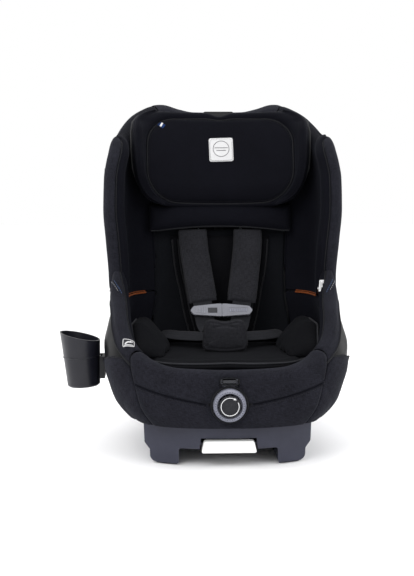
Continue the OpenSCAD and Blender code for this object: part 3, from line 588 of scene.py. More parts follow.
def ep(n, L, r, a=True, b=True):
    """Parameters 0..1 in n steps, with extra rows inside a rounded hem of radius r at either end."""
    k = r / L
    s = [0.0, 0.04 * k, 0.16 * k, 0.4 * k, 0.7 * k] if a else [0.0]
    e = [1 - 0.7 * k, 1 - 0.4 * k, 1 - 0.16 * k, 1 - 0.04 * k, 1.0] if b else [1.0]
    lo, hi = (k if a else 0.0), (1 - k if b else 1.0)
    m = np.linspace(lo, hi, n)
    return np.unique(np.concatenate([s, m, e]))


def fabric_solid(name, G, thick, mat, body, Hf=None, wrap=False, side=1.0, **kw):
    """Cloth of a given thickness under a seen grid G. Hf rounds its hems. side flips the grid's normal."""
    n = grid_normals(G, wrap) * side
    g = np.ones(G.shape[:2]) if Hf is None else Hf
    t = np.broadcast_to(np.asarray(thick, float), G.shape[:2])
    A = G - n * (t * 0.5 * (1 - g))[..., None]
    B = G - n * (t * (0.5 + 0.5 * g))[..., None]
    return solid(name, A, B, mat, body, wrap=wrap, **kw)


def wrinkle(G, amp, wave, seed):
    """Slow folds, the same on every run."""
    r = np.random.RandomState(seed)
    h = np.zeros(G.shape[:-1])
    for k in range(7):
        d = r.normal(size=3)
        d /= np.linalg.norm(d)
        f = 2 * math.pi / (wave * r.uniform(0.7, 1.6))
        h += np.sin((G @ d) * f + r.uniform(0, 6.28)) * r.uniform(0.4, 1.0)
    return h * amp / 3.0


def seg_dist(X, Y, pts):
    """Distance from each point (X, Y) to a polyline, and the place along it."""
    best = np.full(np.shape(X), 1e9)
    for (x0, y0), (x1, y1) in zip(pts[:-1], pts[1:]):
        dx, dy = x1 - x0, y1 - y0
        t = np.clip(((X - x0) * dx + (Y - y0) * dy) / (dx * dx + dy * dy + 1e-12), 0, 1)
        best = np.minimum(best, np.hypot(X - x0 - t * dx, Y - y0 - t * dy))
    return best


def groove(d, depth, w):
    return -depth * np.exp(-((d / w) ** 2))


def smooth_path(pts, n):
    """Centripetal-like smooth resampling of a few points to n points of equal spacing."""
    p = np.asarray(pts, float)
    L = np.concatenate([[0], np.cumsum(np.linalg.norm(np.diff(p, axis=0), axis=1))])
    if len(p) > 2:
        m = np.gradient(p, L, axis=0)
        q = np.linspace(0, L[-1], max(n * 4, 60))
        i = np.clip(np.searchsorted(L, q, side="right") - 1, 0, len(L) - 2)
        h = (L[i + 1] - L[i])[:, None]
        t = ((q - L[i]) / (L[i + 1] - L[i]))[:, None]
        c = (1 + 2 * t) * (1 - t) ** 2 * p[i] + t * (1 - t) ** 2 * h * m[i] + t * t * (3 - 2 * t) * p[i + 1] + t * t * (t - 1) * h * m[i + 1]
    else:
        c = p
    L2 = np.concatenate([[0], np.cumsum(np.linalg.norm(np.diff(c, axis=0), axis=1))])
    s = np.linspace(0, L2[-1], n)
    return np.stack([np.interp(s, L2, c[:, k]) for k in range(c.shape[1])], -1)


def frames_along(p, closed=False):
    d = (np.roll(p, -1, 0) - np.roll(p, 1, 0)) if closed else np.gradient(p, axis=0)
    d /= np.linalg.norm(d, axis=1, keepdims=True) + 1e-12
    ref = np.array([0, 0, 1.0]) if abs(d[0, 2]) < 0.9 else np.array([1.0, 0, 0])
    n = np.zeros_like(p)
    v = ref - d[0] * (ref @ d[0])
    for i in range(len(p)):
        v = v - d[i] * (v @ d[i])
        v /= np.linalg.norm(v) + 1e-12
        n[i] = v
    b = np.cross(d, n)
    return d, n, b


def tube(name, pts, r, mat, body, closed=False, seg=10, flat=1.0, parts=None):
    """Round cord along one or several paths, with rounded ends."""
    paths = pts if isinstance(pts, list) and np.ndim(pts[0]) == 2 else [pts]
    V, F, W = [], [], []
    for p in paths:
        p = np.asarray(p, float)
        d, n, b = frames_along(p, closed)
        rr = np.full(len(p), float(r))
        if not closed:
            p = np.concatenate([[p[0] - d[0] * r * 0.9], [p[0] - d[0] * r * 0.55], p, [p[-1] + d[-1] * r * 0.55], [p[-1] + d[-1] * r * 0.9]])
            n = np.concatenate([[n[0]], [n[0]], n, [n[-1]], [n[-1]]])
            b = np.concatenate([[b[0]], [b[0]], b, [b[-1]], [b[-1]]])
            rr = np.concatenate([[r * 0.35], [r * 0.8], rr, [r * 0.8], [r * 0.35]])
        m = len(p)
        base = len(V)
        a = np.linspace(0, 2 * math.pi, seg, endpoint=False)
        L = np.concatenate([[0], np.cumsum(np.linalg.norm(np.diff(p, axis=0), axis=1))])
        for i in range(m):
            for k in range(seg):
                V.append(p[i] + rr[i] * (n[i] * math.cos(a[k]) * flat + b[i] * math.sin(a[k])))
                W.append((rr[i] * a[k], L[i]))
        for i in range(m if closed else m - 1):
            i2 = (i + 1) % m
            for k in range(seg):
                k2 = (k + 1) % seg
                F.append((base + i * seg + k, base + i2 * seg + k, base + i2 * seg + k2, base + i * seg + k2))
        if not closed:
            F.append(tuple(base + k for k in range(seg)))
            F.append(tuple(base + (m - 1) * seg + k for k in reversed(range(seg))))
    V = np.array(V)
    if signed_volume(V, F) < 0:
        F = [tuple(reversed(f)) for f in F]
    return make(name, V, F, mat, body, wv=np.array(W))


def stitches(name, paths, normals, mat, body, pitch=4.4, length=3.0, r=0.42, lift=0.25):
    """A row of sewn stitches along paths lying on a surface."""
    V, F, W = [], [], []
    for p, nn in zip(paths, normals):
        p = np.asarray(p, float)
        nn = np.asarray(nn, float)
        L = np.concatenate([[0], np.cumsum(np.linalg.norm(np.diff(p, axis=0), axis=1))])
        for s in np.arange(pitch * 0.5, L[-1] - length, pitch):
            q = [np.array([np.interp(s + t * length, L, p[:, k]) for k in range(3)]) for t in (0, 0.5, 1)]
            n = np.array([np.interp(s + 0.5 * length, L, nn[:, k]) for k in range(3)])
            n /= np.linalg.norm(n) + 1e-12
            d = q[2] - q[0]
            d /= np.linalg.norm(d) + 1e-12
            b = np.cross(d, n)
            base = len(V)
            for t, (c, rad, up) in enumerate(((q[0], 0.35, -0.25), (q[0] * 0.8 + q[2] * 0.2, 0.95, 0.75), (q[0] * 0.2 + q[2] * 0.8, 0.95, 0.75), (q[2], 0.35, -0.25))):
                for k in range(6):
                    a = k * math.pi / 3
                    V.append(c + n * (lift + up * r) + (n * math.cos(a) + b * math.sin(a)) * r * rad)
                    W.append((r * a, s + t))
            for t in range(3):
                for k in range(6):
                    k2 = (k + 1) % 6
                    F.append((base + t * 6 + k, base + (t + 1) * 6 + k, base + (t + 1) * 6 + k2, base + t * 6 + k2))
            F.append(tuple(base + k for k in range(6)))
            F.append(tuple(base + 18 + k for k in reversed(range(6))))
    V = np.array(V)
    if signed_volume(V, F) < 0:
        F = [tuple(reversed(f)) for f in F]
    return make(name, V, F, mat, body, wv=np.array(W))


def on_grid(G, us, vs, U, Vp):
    """Points and normals of a grid at parameters (us, vs)."""
    n = grid_normals(G)
    iu = np.interp(us, U, np.arange(len(U)))
    iv = np.interp(vs, Vp, np.arange(len(Vp)))
    i0 = np.clip(iu.astype(int), 0, len(U) - 2)
    j0 = np.clip(iv.astype(int), 0, len(Vp) - 2)
    fu = (iu - i0)[:, None]
    fv = (iv - j0)[:, None]

    def s(A):
        return A[i0, j0] * (1 - fu) * (1 - fv) + A[i0 + 1, j0] * fu * (1 - fv) + A[i0, j0 + 1] * (1 - fu) * fv + A[i0 + 1, j0 + 1] * fu * fv

    return s(G), s(n)


BODY_OF = {n: b for b, l in frame["record"]["behaviour"]["bodies"].items() for n in l}


def bevelled(node, width, mat, segments=3, angle=28, name=None):
    """A CAD piece with its edges rounded, in the same place and at the same size."""
    ob = frame["nodes"][node]
    me = ob.data.copy()
    me.name = name or node + "_finish"
    bm = bmesh.new()
    bm.from_mesh(me)
    bmesh.ops.remove_doubles(bm, verts=bm.verts, dist=2e-6)
    bmesh.ops.dissolve_limit(bm, angle_limit=math.radians(1.5), verts=bm.verts, edges=bm.edges)
    bm.to_mesh(me)
    bm.free()
    me.materials.clear()
    me.materials.append(MATS[mat])
    new = bpy.data.objects.new(name or node + "_finish", me)
    scene.collection.objects.link(new)
    if width > 0:
        b = new.modifiers.new("bevel", "BEVEL")
        b.width = width * MM
        b.segments = segments
        b.limit_method = "ANGLE"
        b.angle_limit = math.radians(angle)
        b.use_clamp_overlap = True
        b.harden_normals = False
    me.polygons.foreach_set("use_smooth", np.ones(len(me.polygons), bool))
    w = new.modifiers.new("normals", "WEIGHTED_NORMAL")
    w.keep_sharp = True
    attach(new, BODY_OF[node])
    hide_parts(node)
    OBJ[new.name] = new
    return new


def arc_thetas(a, b, z, step, breaks=()):
    """Plan angles from a to b, evenly spaced along the outline at height z."""
    t = np.arange(a, b + 1e-9, 0.05)
    p = P(t, z, 0, 0)
    L = np.concatenate([[0], np.cumsum(np.linalg.norm(np.diff(p, axis=0), axis=1))])
    q = np.interp(np.linspace(0, L[-1], max(2, int(L[-1] / step) + 1)), L, t)
    for k in breaks:
        q = q[np.abs(np.interp(q, t, L) - np.interp(k, t, L)) > step * 0.35]
        q = np.append(q, k)
    return np.unique(np.concatenate([[a], q, [b]]))


def mirror_x(G):
    G = G.copy()
    G[..., 0] *= -1
    return G


def outward(G, centre=(0, -20, 300)):
    """Sign that makes the grid's normals point away from a place."""
    n = grid_normals(G)
    d = G - np.array(centre, float)
    return 1.0 if np.sum(n * d) > 0 else -1.0


# ------------------------------------------------------------------ moulded shell
M_, N_ = 8, 20


def zbot(th):
    return np.where(th <= 180, np.interp(np.minimum(th, 180 - th), [0, 25], [78, 87]), 78)


def zlow(th):
    return np.where(th <= 180, 318, zr(th) - 9)


th_s = arc_thetas(0, 360, 300, 8.5, (7.5, 45, 82.5, 97.5, 135, 172.5, 267.7, 272.3))[:-1]
j_s = np.unique(np.concatenate([np.linspace(0, 8, 33), np.linspace(8, 20, 49), [1, 7, 8, 12, 18]]))
TH, J = np.meshgrid(th_s, j_s, indexing="ij")
Zs = np.where(J <= M_, mix(zbot(TH), zlow(TH), np.minimum(J, M_) / M_), mix(318, ztop(TH) - 6, (np.maximum(J, M_) - M_) / (N_ - M_)))
A = P(TH, Zs, 4.5, 4.5)
B = P(TH, Zs, 8.5, 8.5)
nt = len(th_s)
tc = (th_s + np.append(th_s[1:], 360)) / 2
jc = (j_s[1:] + j_s[:-1]) / 2
TC, JC = np.meshgrid(tc, jc, indexing="ij")
keep = ((JC < M_) | (TC < 180)) & ~((JC > 7) & (JC < 8) & (((TC > 7.5) & (TC < 45)) | ((TC > 135) & (TC < 172.5)))) & ~((JC > 12) & (JC < 18) & (TC > 82.5) & (TC < 97.5)) & ~((JC > 1) & (TC > 267.7) & (TC < 272.3))
shell = solid("moulded_shell", A, B, "gloss", "seat", keep=keep, wrap=True)
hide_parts("seat_shell")

# glossy rolled lip along the belt slots
for sgn, tag in ((1, "right"), (-1, "left")):
    t = arc_thetas(7.5, 45, 300, 4)
    lo = P(t, 288.3, 6.5, 6.5)
    hi = P(t, 317.5, 6.5, 6.5)
    loop = np.concatenate([lo, hi[::-1]])
    loop = smooth_path(np.concatenate([loop, loop[:1]]), 90)[:-1]
    loop[:, 0] *= sgn
    tube("belt_slot_lip_" + tag, loop, 2.3, "gloss", "seat", closed=True, seg=8)

# rear panel, with a raised border and shallow channels
t = arc_thetas(66, 114, 400, 5)
z = np.linspace(180, 603, 86)
TH, Z = np.meshgrid(t, z, indexing="ij")
G = P(TH, Z, -1, -1)
X = G[..., 0]


def box_sd(x, y, hx, hy, r):
    qx, qy = np.abs(x) - hx + r, np.abs(y) - hy + r
    return np.minimum(np.maximum(qx, qy), 0) + np.hypot(np.maximum(qx, 0), np.maximum(qy, 0)) - r


def step(v, w):
    return 1 / (1 + np.exp(np.clip(v / w, -40, 40)))


dep = 1.5 * step(box_sd(X, Z - 392, 100, 185, 26), 1.0)
for xc in (-70, -35, 0, 35, 70):
    dep -= 1.1 * step(box_sd(X - xc, Z - 470, 8, 88, 8), 0.8)
dep += 0.9 * step(box_sd(X, Z - 300, 82, 62, 16), 0.8)
n = grid_normals(G) * outward(G)
rear = solid("rear_panel", G - n * dep[..., None], P(TH, Z, 2.8, 2.8), "rear", "seat")
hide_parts("rear_cover")
rim = np.concatenate([P(t, 181.5, -0.6, -0.6), P(114, z[1:-1], -0.6, -0.6), P(t[::-1], 601.5, -0.6, -0.6), P(66, z[1:-1][::-1], -0.6, -0.6)])
tube("rear_panel_edge", smooth_path(np.concatenate([rim, rim[:1]]), 240)[:-1], 1.5, "rear", "seat", closed=True, seg=8)


# ------------------------------------------------------------------ padded side wings
def wtop(th):
    """Height of the cover's top edge, dropping at the front corner."""
    th = np.asarray(th, float)
    return ztop(th) - 2.0 * np.clip(1 - th / 10.0, 0, 1) ** 2


def dome(th, z, ox, oy):
    outer = np.asarray(ox) < 10
    R = np.where(outer, 9.0, 26.0) + 14.0 * np.clip(1 - np.asarray(th, float) / 14.0, 0, 1)
    h = np.clip((wtop(th) - z) / R, 0, 1)
    f = np.sqrt(1 - (1 - h) ** 2)
    return P(th, z, 7.5 + (ox - 7.5) * f, 11.0 + (oy - 11.0) * f)


def rim_arc(phi, z):
    R = 30.0
    h = np.clip((wtop(0) - 3.0 * np.sin(phi) - z) / R, 0, 1)
    f = np.sqrt(1 - (1 - h) ** 2)
    cx = 7.5 + (16.5 - 7.5) * f
    x = Wv(z) - cx - 16.5 * f * -np.cos(phi)
    y = Yc(z) - 13.5 * f * np.sin(phi)
    return np.stack([x, y, z + 0 * x], -1)


wing_to = arc_thetas(0, 58, 450, 5.0)[::-1]
wing_ti = arc_thetas(0, 57.4, 450, 4.6)
phis = np.linspace(0, math.pi, 15)[1:-1]
kk = np.concatenate([[0, 0.0012, 0.004], np.linspace(0.008, 0.94, 66), 1 - 0.06 * (1 - np.sin(np.linspace(0, math.pi / 2, 10)))[1:]])
ZLO = 303.0


def wing_grid():
    cols = []
    for t in wing_to:
        zl = mix(306.0, ZLO, min(1.0, t / 7.0))
        cols.append(dome(t, mix(zl, wtop(t), kk), 0, 0))
    for ph in phis:
        cols.append(rim_arc(ph, mix(306.0, float(wtop(0)) - 3.0 * math.sin(ph), kk)))
    for t in wing_ti:
        zl = mix(306.0, 289.5, min(1.0, t / 4.0))
        cols.append(dome(t, mix(zl, wtop(t), kk), 33, 55))
    return np.array(cols)


WG = wing_grid()
wa, wb = arc(WG)
mid = len(wing_to) + len(phis) // 2
wa0 = wa - wa[mid][None, :]
seam_in, seam_out = 7.0, -46.0
# lift of the cloth away from the foam
lift = groove(wa0 - seam_in, 2.0, 2.1) + groove(wa0 - seam_out, 1.6, 2.0)
lift += 2.6 * np.clip(1 - ((wa0 - (seam_in + seam_out) / 2) / ((seam_in - seam_out) / 2)) ** 2, 0, 1) ** 0.6
inner = np.clip((wa0 - seam_in) / 60, 0, 1)
lift += 6.0 * np.sin(math.pi * inner ** 0.7) * (wa0 > seam_in)
back_out = np.clip((seam_out - wa0) / 70, 0, 1)
lift += 1.2 * np.sin(math.pi * back_out ** 0.7) * (wa0 < seam_out)
top_fade = np.clip((WG[..., 2] * 0 + (ztop(0) - WG[..., 2])) / 30 + 1.2, 0.25, 1)
lift = lift * np.clip((ztop(45) - WG[..., 2]) / 40, 0.3, 1)
U_end = np.minimum(np.arange(len(WG)), len(WG) - 1 - np.arange(len(WG)))[:, None] / 2.0
lift *= np.clip(U_end, 0, 1)
ZL = WG[:, :1, 2]
low_fade = np.clip((WG[..., 2] - ZL) / 10, 0, 1) ** 0.5
lift *= 0.35 + 0.65 * low_fade
lift += wrinkle(WG, 0.55, 95, 11) * low_fade + 0.35 * wrinkle(WG, 0.5, 34, 12) * low_fade * (wa0 > seam_in)
cell = (wa0[1:, :-1] > seam_in).astype(int)
for sgn, tag in ((1, "right"), (-1, "left")):
    G0 = WG if sgn > 0 else mirror_x(WG)
    sd = -1.0 if sgn > 0 else 1.0
    n = grid_normals(G0) * sd
    if np.sum(n[2, 20] * np.array([sgn, 0, 0])) < 0:
        n, sd = -n, -sd
    G1 = G0 + n * lift[..., None]
    Hf = np.sqrt(np.clip(1 - (1 - np.clip((G0[..., 2] - ZL) / 1.5, 0, 1)) ** 2, 0, 1))
    ob = fabric_solid("side_wing_" + tag, G1, 3.0, None, "seat", Hf=Hf, side=sd, mats=["woven", "jersey"], cell_mat=cell)
    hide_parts("wing_cover_" + tag)
    # seam cords and rows of stitches beside them
    ks = np.arange(2, len(kk) - 4)
    paths, norms = [], []
    seam_paths = []
    for target, tagp in ((seam_in, "in"), (seam_out, "out")):
        pts, nn, pts2, nn2 = [], [], [], []
        for k in ks:
            col = wa0[:, k]
            for off, P_, N__ in ((0, pts, nn), (-3.4 if target > 0 else 3.4, pts2, nn2)):
                i = int(np.clip(np.searchsorted(col, target + off) - 1, 0, len(col) - 2))
                f = (target + off - col[i]) / (col[i + 1] - col[i] + 1e-9)
                P_.append(G1[i, k] * (1 - f) + G1[i + 1, k] * f)
                N__.append(n[i, k] * (1 - f) + n[i + 1, k] * f)
        seam_paths.append(np.array(pts) + np.array(nn) * 0.2)
        paths.append(np.array(pts2))
        norms.append(np.array(nn2))
    tube("side_wing_piping_" + tag, [smooth_path(p, 160) for p in seam_paths], 1.25, "piping", "seat", seg=8)
    stitches("side_wing_stitching_" + tag, paths, norms, "thread", "seat", pitch=4.6, length=3.1, r=0.38)

# band over the top edge
tt = arc_thetas(58.6, 121.4, 640, 4.5)
vz_o = np.concatenate([np.linspace(-46, -9, 11), -9 * (1 - np.sin(np.linspace(0, math.pi / 2, 9)))[1:]])
vz_i = np.concatenate([-26 * (1 - np.sin(np.linspace(math.pi / 2, 0, 11)))[1:], np.linspace(-26, -40, 6)[1:]])
cols = []
for t in tt:
    T = ztop(t)
    # the inner side is short behind the headrest, where the carrier rises past it
    short = float(np.interp(abs(float(P(t, T - 15, 33, 55)[0])), [62, 78], [0.36, 1.0]))
    cols.append(np.concatenate([dome(t, T + vz_o, 0, 0), dome(t, T + vz_i * short, 33, 55)]))
TG = np.array(cols)
sd = outward(TG, (0, 150, 560))
n = grid_normals(TG) * sd
ta, tb = arc(TG)
lift = 1.6 * np.sin(math.pi * np.clip(tb / tb.max(), 0, 1)) + wrinkle(TG, 0.4, 70, 21)
lift[:, len(vz_o) + 3:] *= 0.3
lift[:, len(vz_o) + 6:] = -1.4
lift *= np.clip(np.minimum(np.arange(len(TG)), len(TG) - 1 - np.arange(len(TG)))[:, None] / 2.0, 0, 1)
vv = np.linspace(0, 1, TG.shape[1])
Hf = hem(np.linspace(0, 1, len(TG)), vv, 300, 120, 1.6, "du")
ob = fabric_solid("top_band", TG + n * lift[..., None], 3.0, "woven", "seat", Hf=Hf, side=sd)
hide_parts("top_cover")
GT = TG + n * lift[..., None]
tube("top_band_piping", [smooth_path(GT[:, 1] + n[:, 1] * 0.4, 120), smooth_path(GT[:, -2] + n[:, -2] * 0.3, 120)], 1.3, "piping", "seat", seg=8)

# ------------------------------------------------------------------ back panel inside the bucket
t = arc_thetas(59.2, 120.8, 400, 4.2, (78, 102))
z = np.linspace(190, 632, 106)
TH, K = np.meshgrid(t, np.linspace(0, 1, 106), indexing="ij")
Z = mix(190, np.minimum(ztop(TH), 660) - 28, K)
G = P(TH, Z, 33, 55)
sd = -outward(G, (0, -50, 400))
n = grid_normals(G) * sd
edge = np.clip(np.minimum(TH - 59.2, 120.8 - TH) / 4.0, 0, 1)
lift = 3.2 * edge ** 0.6 + wrinkle(G, 0.7, 80, 31)
tcen = (t[1:] + t[:-1]) / 2
kcen = (np.linspace(0, 1, 106)[1:] + np.linspace(0, 1, 106)[:-1]) / 2
keep = ~(((tcen > 78) & (tcen < 102))[:, None] & (kcen > 0.5)[None, :])
ob = fabric_solid("back_panel", G + n * lift[..., None], 4.0, "panel", "seat", side=sd, keep=keep)
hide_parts("back_pad")


# ------------------------------------------------------------------ hip sides
def Qp(t, z, o):
    p = P(t, zr(t) - 6, o, o)
    p = p.copy()
    p[..., 2] = z
    return p


hip_t = arc_thetas(308.6, 359.7, 260, 4.6)
NR, NI = 24, 20
cols = []
for t in hip_t:
    r = float(zr(t)) + 24.0 * max(0.0, (float(t) - 343.0) / 16.7) ** 2
    rim = np.array([P(t, r - 15 - (r - float(zr(t))), 0, 0), P(t, r - 6, 0, 0), Qp(t, r + 3.5, 5), Qp(t, r + 7.5, 16.5), Qp(t, r + 3.5, 28), P(t, r - 6, 33, 33)])
    low = np.array([P(t, mix(r - 6, 176, q), 33, 33) for q in np.linspace(0, 1, NI)])
    a = smooth_path(rim, NR)
    cols.append(np.concatenate([a, low[1:]]))
HG = np.array(cols)
ha, hb = arc(HG)
crest = int(np.argmax(HG[len(HG) // 2, :NR, 2]))
hb0 = hb - hb[:, crest][:, None]
hseam = 15.0
lift = groove(hb0 - hseam, 2.0, 2.1)
lift += 2.0 * np.clip(1 - ((hb0 - (hseam - 17)) / 17) ** 2, 0, 1) ** 0.6
q = np.clip((hb0 - hseam) / 55, 0, 1)
lift += 4.0 * np.sin(math.pi * q ** 0.8) * (hb0 > hseam)
uu = np.minimum(np.arange(len(HG)), len(HG) - 1 - np.arange(len(HG)))[:, None] / 2.0
lift = lift * np.clip(uu, 0, 1) + wrinkle(HG, 0.5, 70, 41)
# the upper end tucks under the wing
lift -= 8.0 * np.clip((hip_t[:, None] - 349.5) / 10.2, 0, 1) ** 1.6
hcell = (hb0[:-1, 1:] > hseam).astype(int)
for sgn, tag in ((1, "right"), (-1, "left")):
    G0 = HG if sgn > 0 else mirror_x(HG)
    sd = 1.0
    n = grid_normals(G0)
    if n[len(G0) // 2, 1] @ np.array([sgn, -0.3, 0]) < 0:
        n, sd = -n, -1.0
    G1 = G0 + n * lift[..., None]
    Hf = hem(np.linspace(0, 1, G0.shape[0]), hb.mean(0) / hb.mean(0).max(), 180, hb.mean(0).max(), 1.6, "d")
    hip = fabric_solid("hip_side_" + tag, G1, 3.0, None, "seat", Hf=Hf, side=sd, mats=["woven", "jersey"], cell_mat=hcell)
    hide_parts("hip_cover_" + tag)
    ts = arc_thetas(0.6, 57.4, 240, 4.6)
    TH, Z = np.meshgrid(ts, np.linspace(176, 288, 30), indexing="ij")
    S0 = P(TH, Z, 33, 55)
    if sgn < 0:
        S0 = mirror_x(S0)
    ns = grid_normals(S0)
    ss = 1.0
    if ns[10, 10] @ np.array([-sgn, -0.2, 0]) < 0:
        ns, ss = -ns, -1.0
    eu = np.clip(np.minimum(np.arange(len(ts)), len(ts) - 1 - np.arange(len(ts)))[:, None] / 3.0, 0, 1)
    lf = 3.0 * eu * np.sin(math.pi * np.clip((Z - 176) / 112, 0, 1)) ** 0.5 + wrinkle(S0, 0.5, 60, 43)
    side = fabric_solid("hip_lining_" + tag, S0 + ns * lf[..., None], 3.0, "jersey", "seat", Hf=hem(np.linspace(0, 1, len(ts)), np.linspace(0, 1, 30), 300, 112, 1.6, "u"), side=ss)
    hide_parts("hip_cover_" + tag)
    pts, nn, pts2, nn2, pts3 = [], [], [], [], []
    for i in range(0, len(HG)):
        row = hb0[i]
        for target, P_, N__ in ((hseam, pts, nn), (hseam - 3.6, pts2, nn2)):
            j = int(np.clip(np.searchsorted(row, target) - 1, 0, len(row) - 2))
            f = (target - row[j]) / (row[j + 1] - row[j] + 1e-9)
            P_.append(G1[i, j] * (1 - f) + G1[i, j + 1] * f)
            N__.append(n[i, j] * (1 - f) + n[i, j + 1] * f)
    edge_path = G1[:, 0] + n[:, 0] * 0.2
    tube("hip_piping_" + tag, [smooth_path(np.array(pts) + np.array(nn) * 0.2, 110), smooth_path(edge_path, 110)], 1.25, "piping", "seat", seg=8)
    stitches("hip_stitching_" + tag, [smooth_path(np.array(pts2), 110)], [smooth_path(np.array(nn2), 110)], "thread", "seat", pitch=4.6, length=3.1, r=0.38)
    # orange binding on the lower edge of the belt slot
    tb_ = arc_thetas(9, 46, 290, 4)
    p = P(tb_, 286.5, 34.3, 57.2)
    p[:, 0] *= sgn
    p2 = P(tb_, 288.6, 27, 50)
    p2[:, 0] *= sgn
    ob = tube("belt_slot_binding_" + tag, [smooth_path(p, 80)], 1.8, "orange", "seat", seg=8)
    G2 = np.stack([P(tb_, 290.6, 33.4, 56), P(tb_, 291.2, 24, 42), P(tb_, 290.8, 10.6, 16)], 1)
    G2[..., 0] *= sgn
    G3 = G2.copy()
    G3[..., 2] -= 1.6
    sl = solid("belt_slot_lining_" + tag, G2, G3, "orange", "seat")
    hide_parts("belt_guides")

# ------------------------------------------------------------------ front apron
ap_t = arc_thetas(232, 308, 140, 3.0)
seam_x = [(-172, 156), (-150, 148), (-112, 137), (-80, 129.5), (-50, 123.5), (-30, 120), (0, 118.5), (30, 120), (50, 123.5), (80, 129.5), (112, 137), (150, 148), (172, 156)]
KA, KL = 38, 16
cols = []
for t in ap_t:
    r = float(zr(t))
    zz = mix(float(apron_lo(t)), r - 6, np.concatenate([[0, 0.006, 0.018], np.linspace(0.03, 1, KA)]))
    outer = P(t, zz, 0, 0)
    lip = smooth_path(np.array([P(t, r - 12, 0, 0), P(t, r - 6, 0, 0), Qp(t, r + 2, 5), Qp(t, r + 5.5, 14), Qp(t, r + 4.5, 24), P(t, r - 2, 33, 33), P(t, r - 7, 33, 33)]), KL + 6)
    i0 = int(np.searchsorted(lip[:, 2] if lip[3, 2] > lip[0, 2] else -lip[:, 2], r - 6 + 0.8))
    lip = lip[max(i0, 1):]
    lip = smooth_path(np.concatenate([outer[-1:], lip]), KL + 1)[1:]
    cols.append(np.concatenate([outer, lip]))
AG = np.array(cols)
X, Z = AG[..., 0], AG[..., 2]
isout = (np.arange(AG.shape[1]) < KA + 3)[None, :] & np.ones(AG.shape[:2], bool)
aa, ab = arc(AG)
n = grid_normals(AG)
sd = 1.0
if n[len(AG) // 2, 8] @ np.array([0, -1, 0]) < 0:
    n, sd = -n, -1.0
d_seam = seg_dist(X, Z, seam_x)
rd = np.hypot(X, Z - 120)
lift = np.where(isout, groove(d_seam, 2.7, 2.3), 0)
lift += np.where(isout, 1.6 * (1 - np.exp(-((d_seam / 14) ** 2))), 1.6)
lift += -5.5 * np.exp(-((np.maximum(rd - 32, 0) / 8.5) ** 2)) * isout
lift += -3.0 * np.exp(-((np.maximum(box_sd(X, Z - 163.2, 18, 6, 4), 0) / 6) ** 2)) * isout
fade = np.clip(np.minimum(np.arange(len(AG)), len(AG) - 1 - np.arange(len(AG)))[:, None] / 2.0, 0, 1)
lift = lift * fade
lift += (wrinkle(AG, 0.45, 60, 51) + 0.5 * wrinkle(AG, 0.5, 26, 52) * np.exp(-((rd - 40) / 45) ** 2)) * np.clip(rd / 40 - 0.8, 0, 1)
AG1 = AG + n * lift[..., None]
# openings for the dial and the release window, with their edges drawn to shape
circ = rd < 33.0
win = box_sd(X, Z - 163.2, 17, 5.4, 3.5) < 0
hole_v = (circ | win) & isout
keep = ~(hole_v[1:, 1:] & hole_v[:-1, 1:] & hole_v[1:, :-1] & hole_v[:-1, :-1])
cnt_hole = hole_v[1:, 1:].astype(int) + hole_v[:-1, 1:] + hole_v[1:, :-1] + hole_v[:-1, :-1]
keep = cnt_hole < 2
vert_kept = np.zeros(AG.shape[:2], bool)
vert_cut = np.zeros(AG.shape[:2], bool)
for di in (0, 1):
    for dj in (0, 1):
        vert_kept[di: di + keep.shape[0], dj: dj + keep.shape[1]] |= keep
        vert_cut[di: di + keep.shape[0], dj: dj + keep.shape[1]] |= ~keep
bd = vert_kept & vert_cut
for i, j in zip(*np.nonzero(bd)):
    x, zz = X[i, j], Z[i, j]
    if math.hypot(x, zz - 120) < 45:
        d = math.hypot(x, zz - 120)
        x, zz = x / d * 33.0, 120 + (zz - 120) / d * 33.0
    else:
        qx, qz = x, zz - 163.2
        k = max(abs(qx) / 17, abs(qz) / 5.4, 1e-6)
        qx, qz = qx / k, qz / k
        if abs(qx) > 14 and abs(qz) > 2.4:
            ax, az = abs(qx) - 13.5, abs(qz) - 1.9
            l = math.hypot(ax, az)
            qx, qz = math.copysign(13.5 + ax / l * 3.5, qx), math.copysign(1.9 + az / l * 3.5, qz)
        x, zz = qx, 163.2 + qz
    y_ = float(P(360 - th_of(x / float(Wv(zz))), zz, 0, 0)[1])
    AG1[i, j] = (x, y_ + (5.0 if zz < 156 else 2.2), zz)
vv = ab.mean(0) / ab.mean(0).max()
Hf = hem(np.linspace(0, 1, len(AG)), vv, 350, ab.mean(0).max(), 1.6, "d")
apron = fabric_solid("front_apron", AG1, 3.0, "woven", "seat", Hf=Hf, side=sd, keep=keep)
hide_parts("apron_cover")
ang = np.linspace(0, 2 * math.pi, 72, endpoint=False)


def front_at(x, z, out=0.0):
    x, z = np.asarray(x, float), np.asarray(z, float)
    p = P(360 - th_of(x / Wv(z)), z, 0, 0)
    p[..., 1] -= out
    return p


tube("dial_opening_binding", front_at(33.2 * np.cos(ang), 120 + 33.2 * np.sin(ang), -4.6), 2.0, "piping", "seat", closed=True, seg=10)
wx = np.array([(math.copysign(13.5, math.cos(a)) + 3.5 * math.cos(a), 163.2 + math.copysign(1.9, math.sin(a)) + 3.5 * math.sin(a)) for a in ang + 0.01])
wl = smooth_path(np.concatenate([front_at(wx[:, 0], wx[:, 1], -1.6), front_at(wx[:1, 0], wx[:1, 1], -1.6)]), 80)[:-1]
tube("window_binding", wl, 1.1, "piping", "seat", closed=True, seg=8)
sx = np.linspace(-171, 171, 220)
sz = pchip(seam_x)(sx)
msk = (np.hypot(sx, sz - 120) > 42)
left = front_at(sx[msk & (sx < 0)], sz[msk & (sx < 0)], -0.9)
right = front_at(sx[msk & (sx > 0)], sz[msk & (sx > 0)], -0.9)
tube("apron_seam_cord", [left, right], 1.25, "jersey", "seat", seg=6)
stitch_l = front_at(sx[msk & (sx < 0)], sz[msk & (sx < 0)] - 4.2, 1.3)
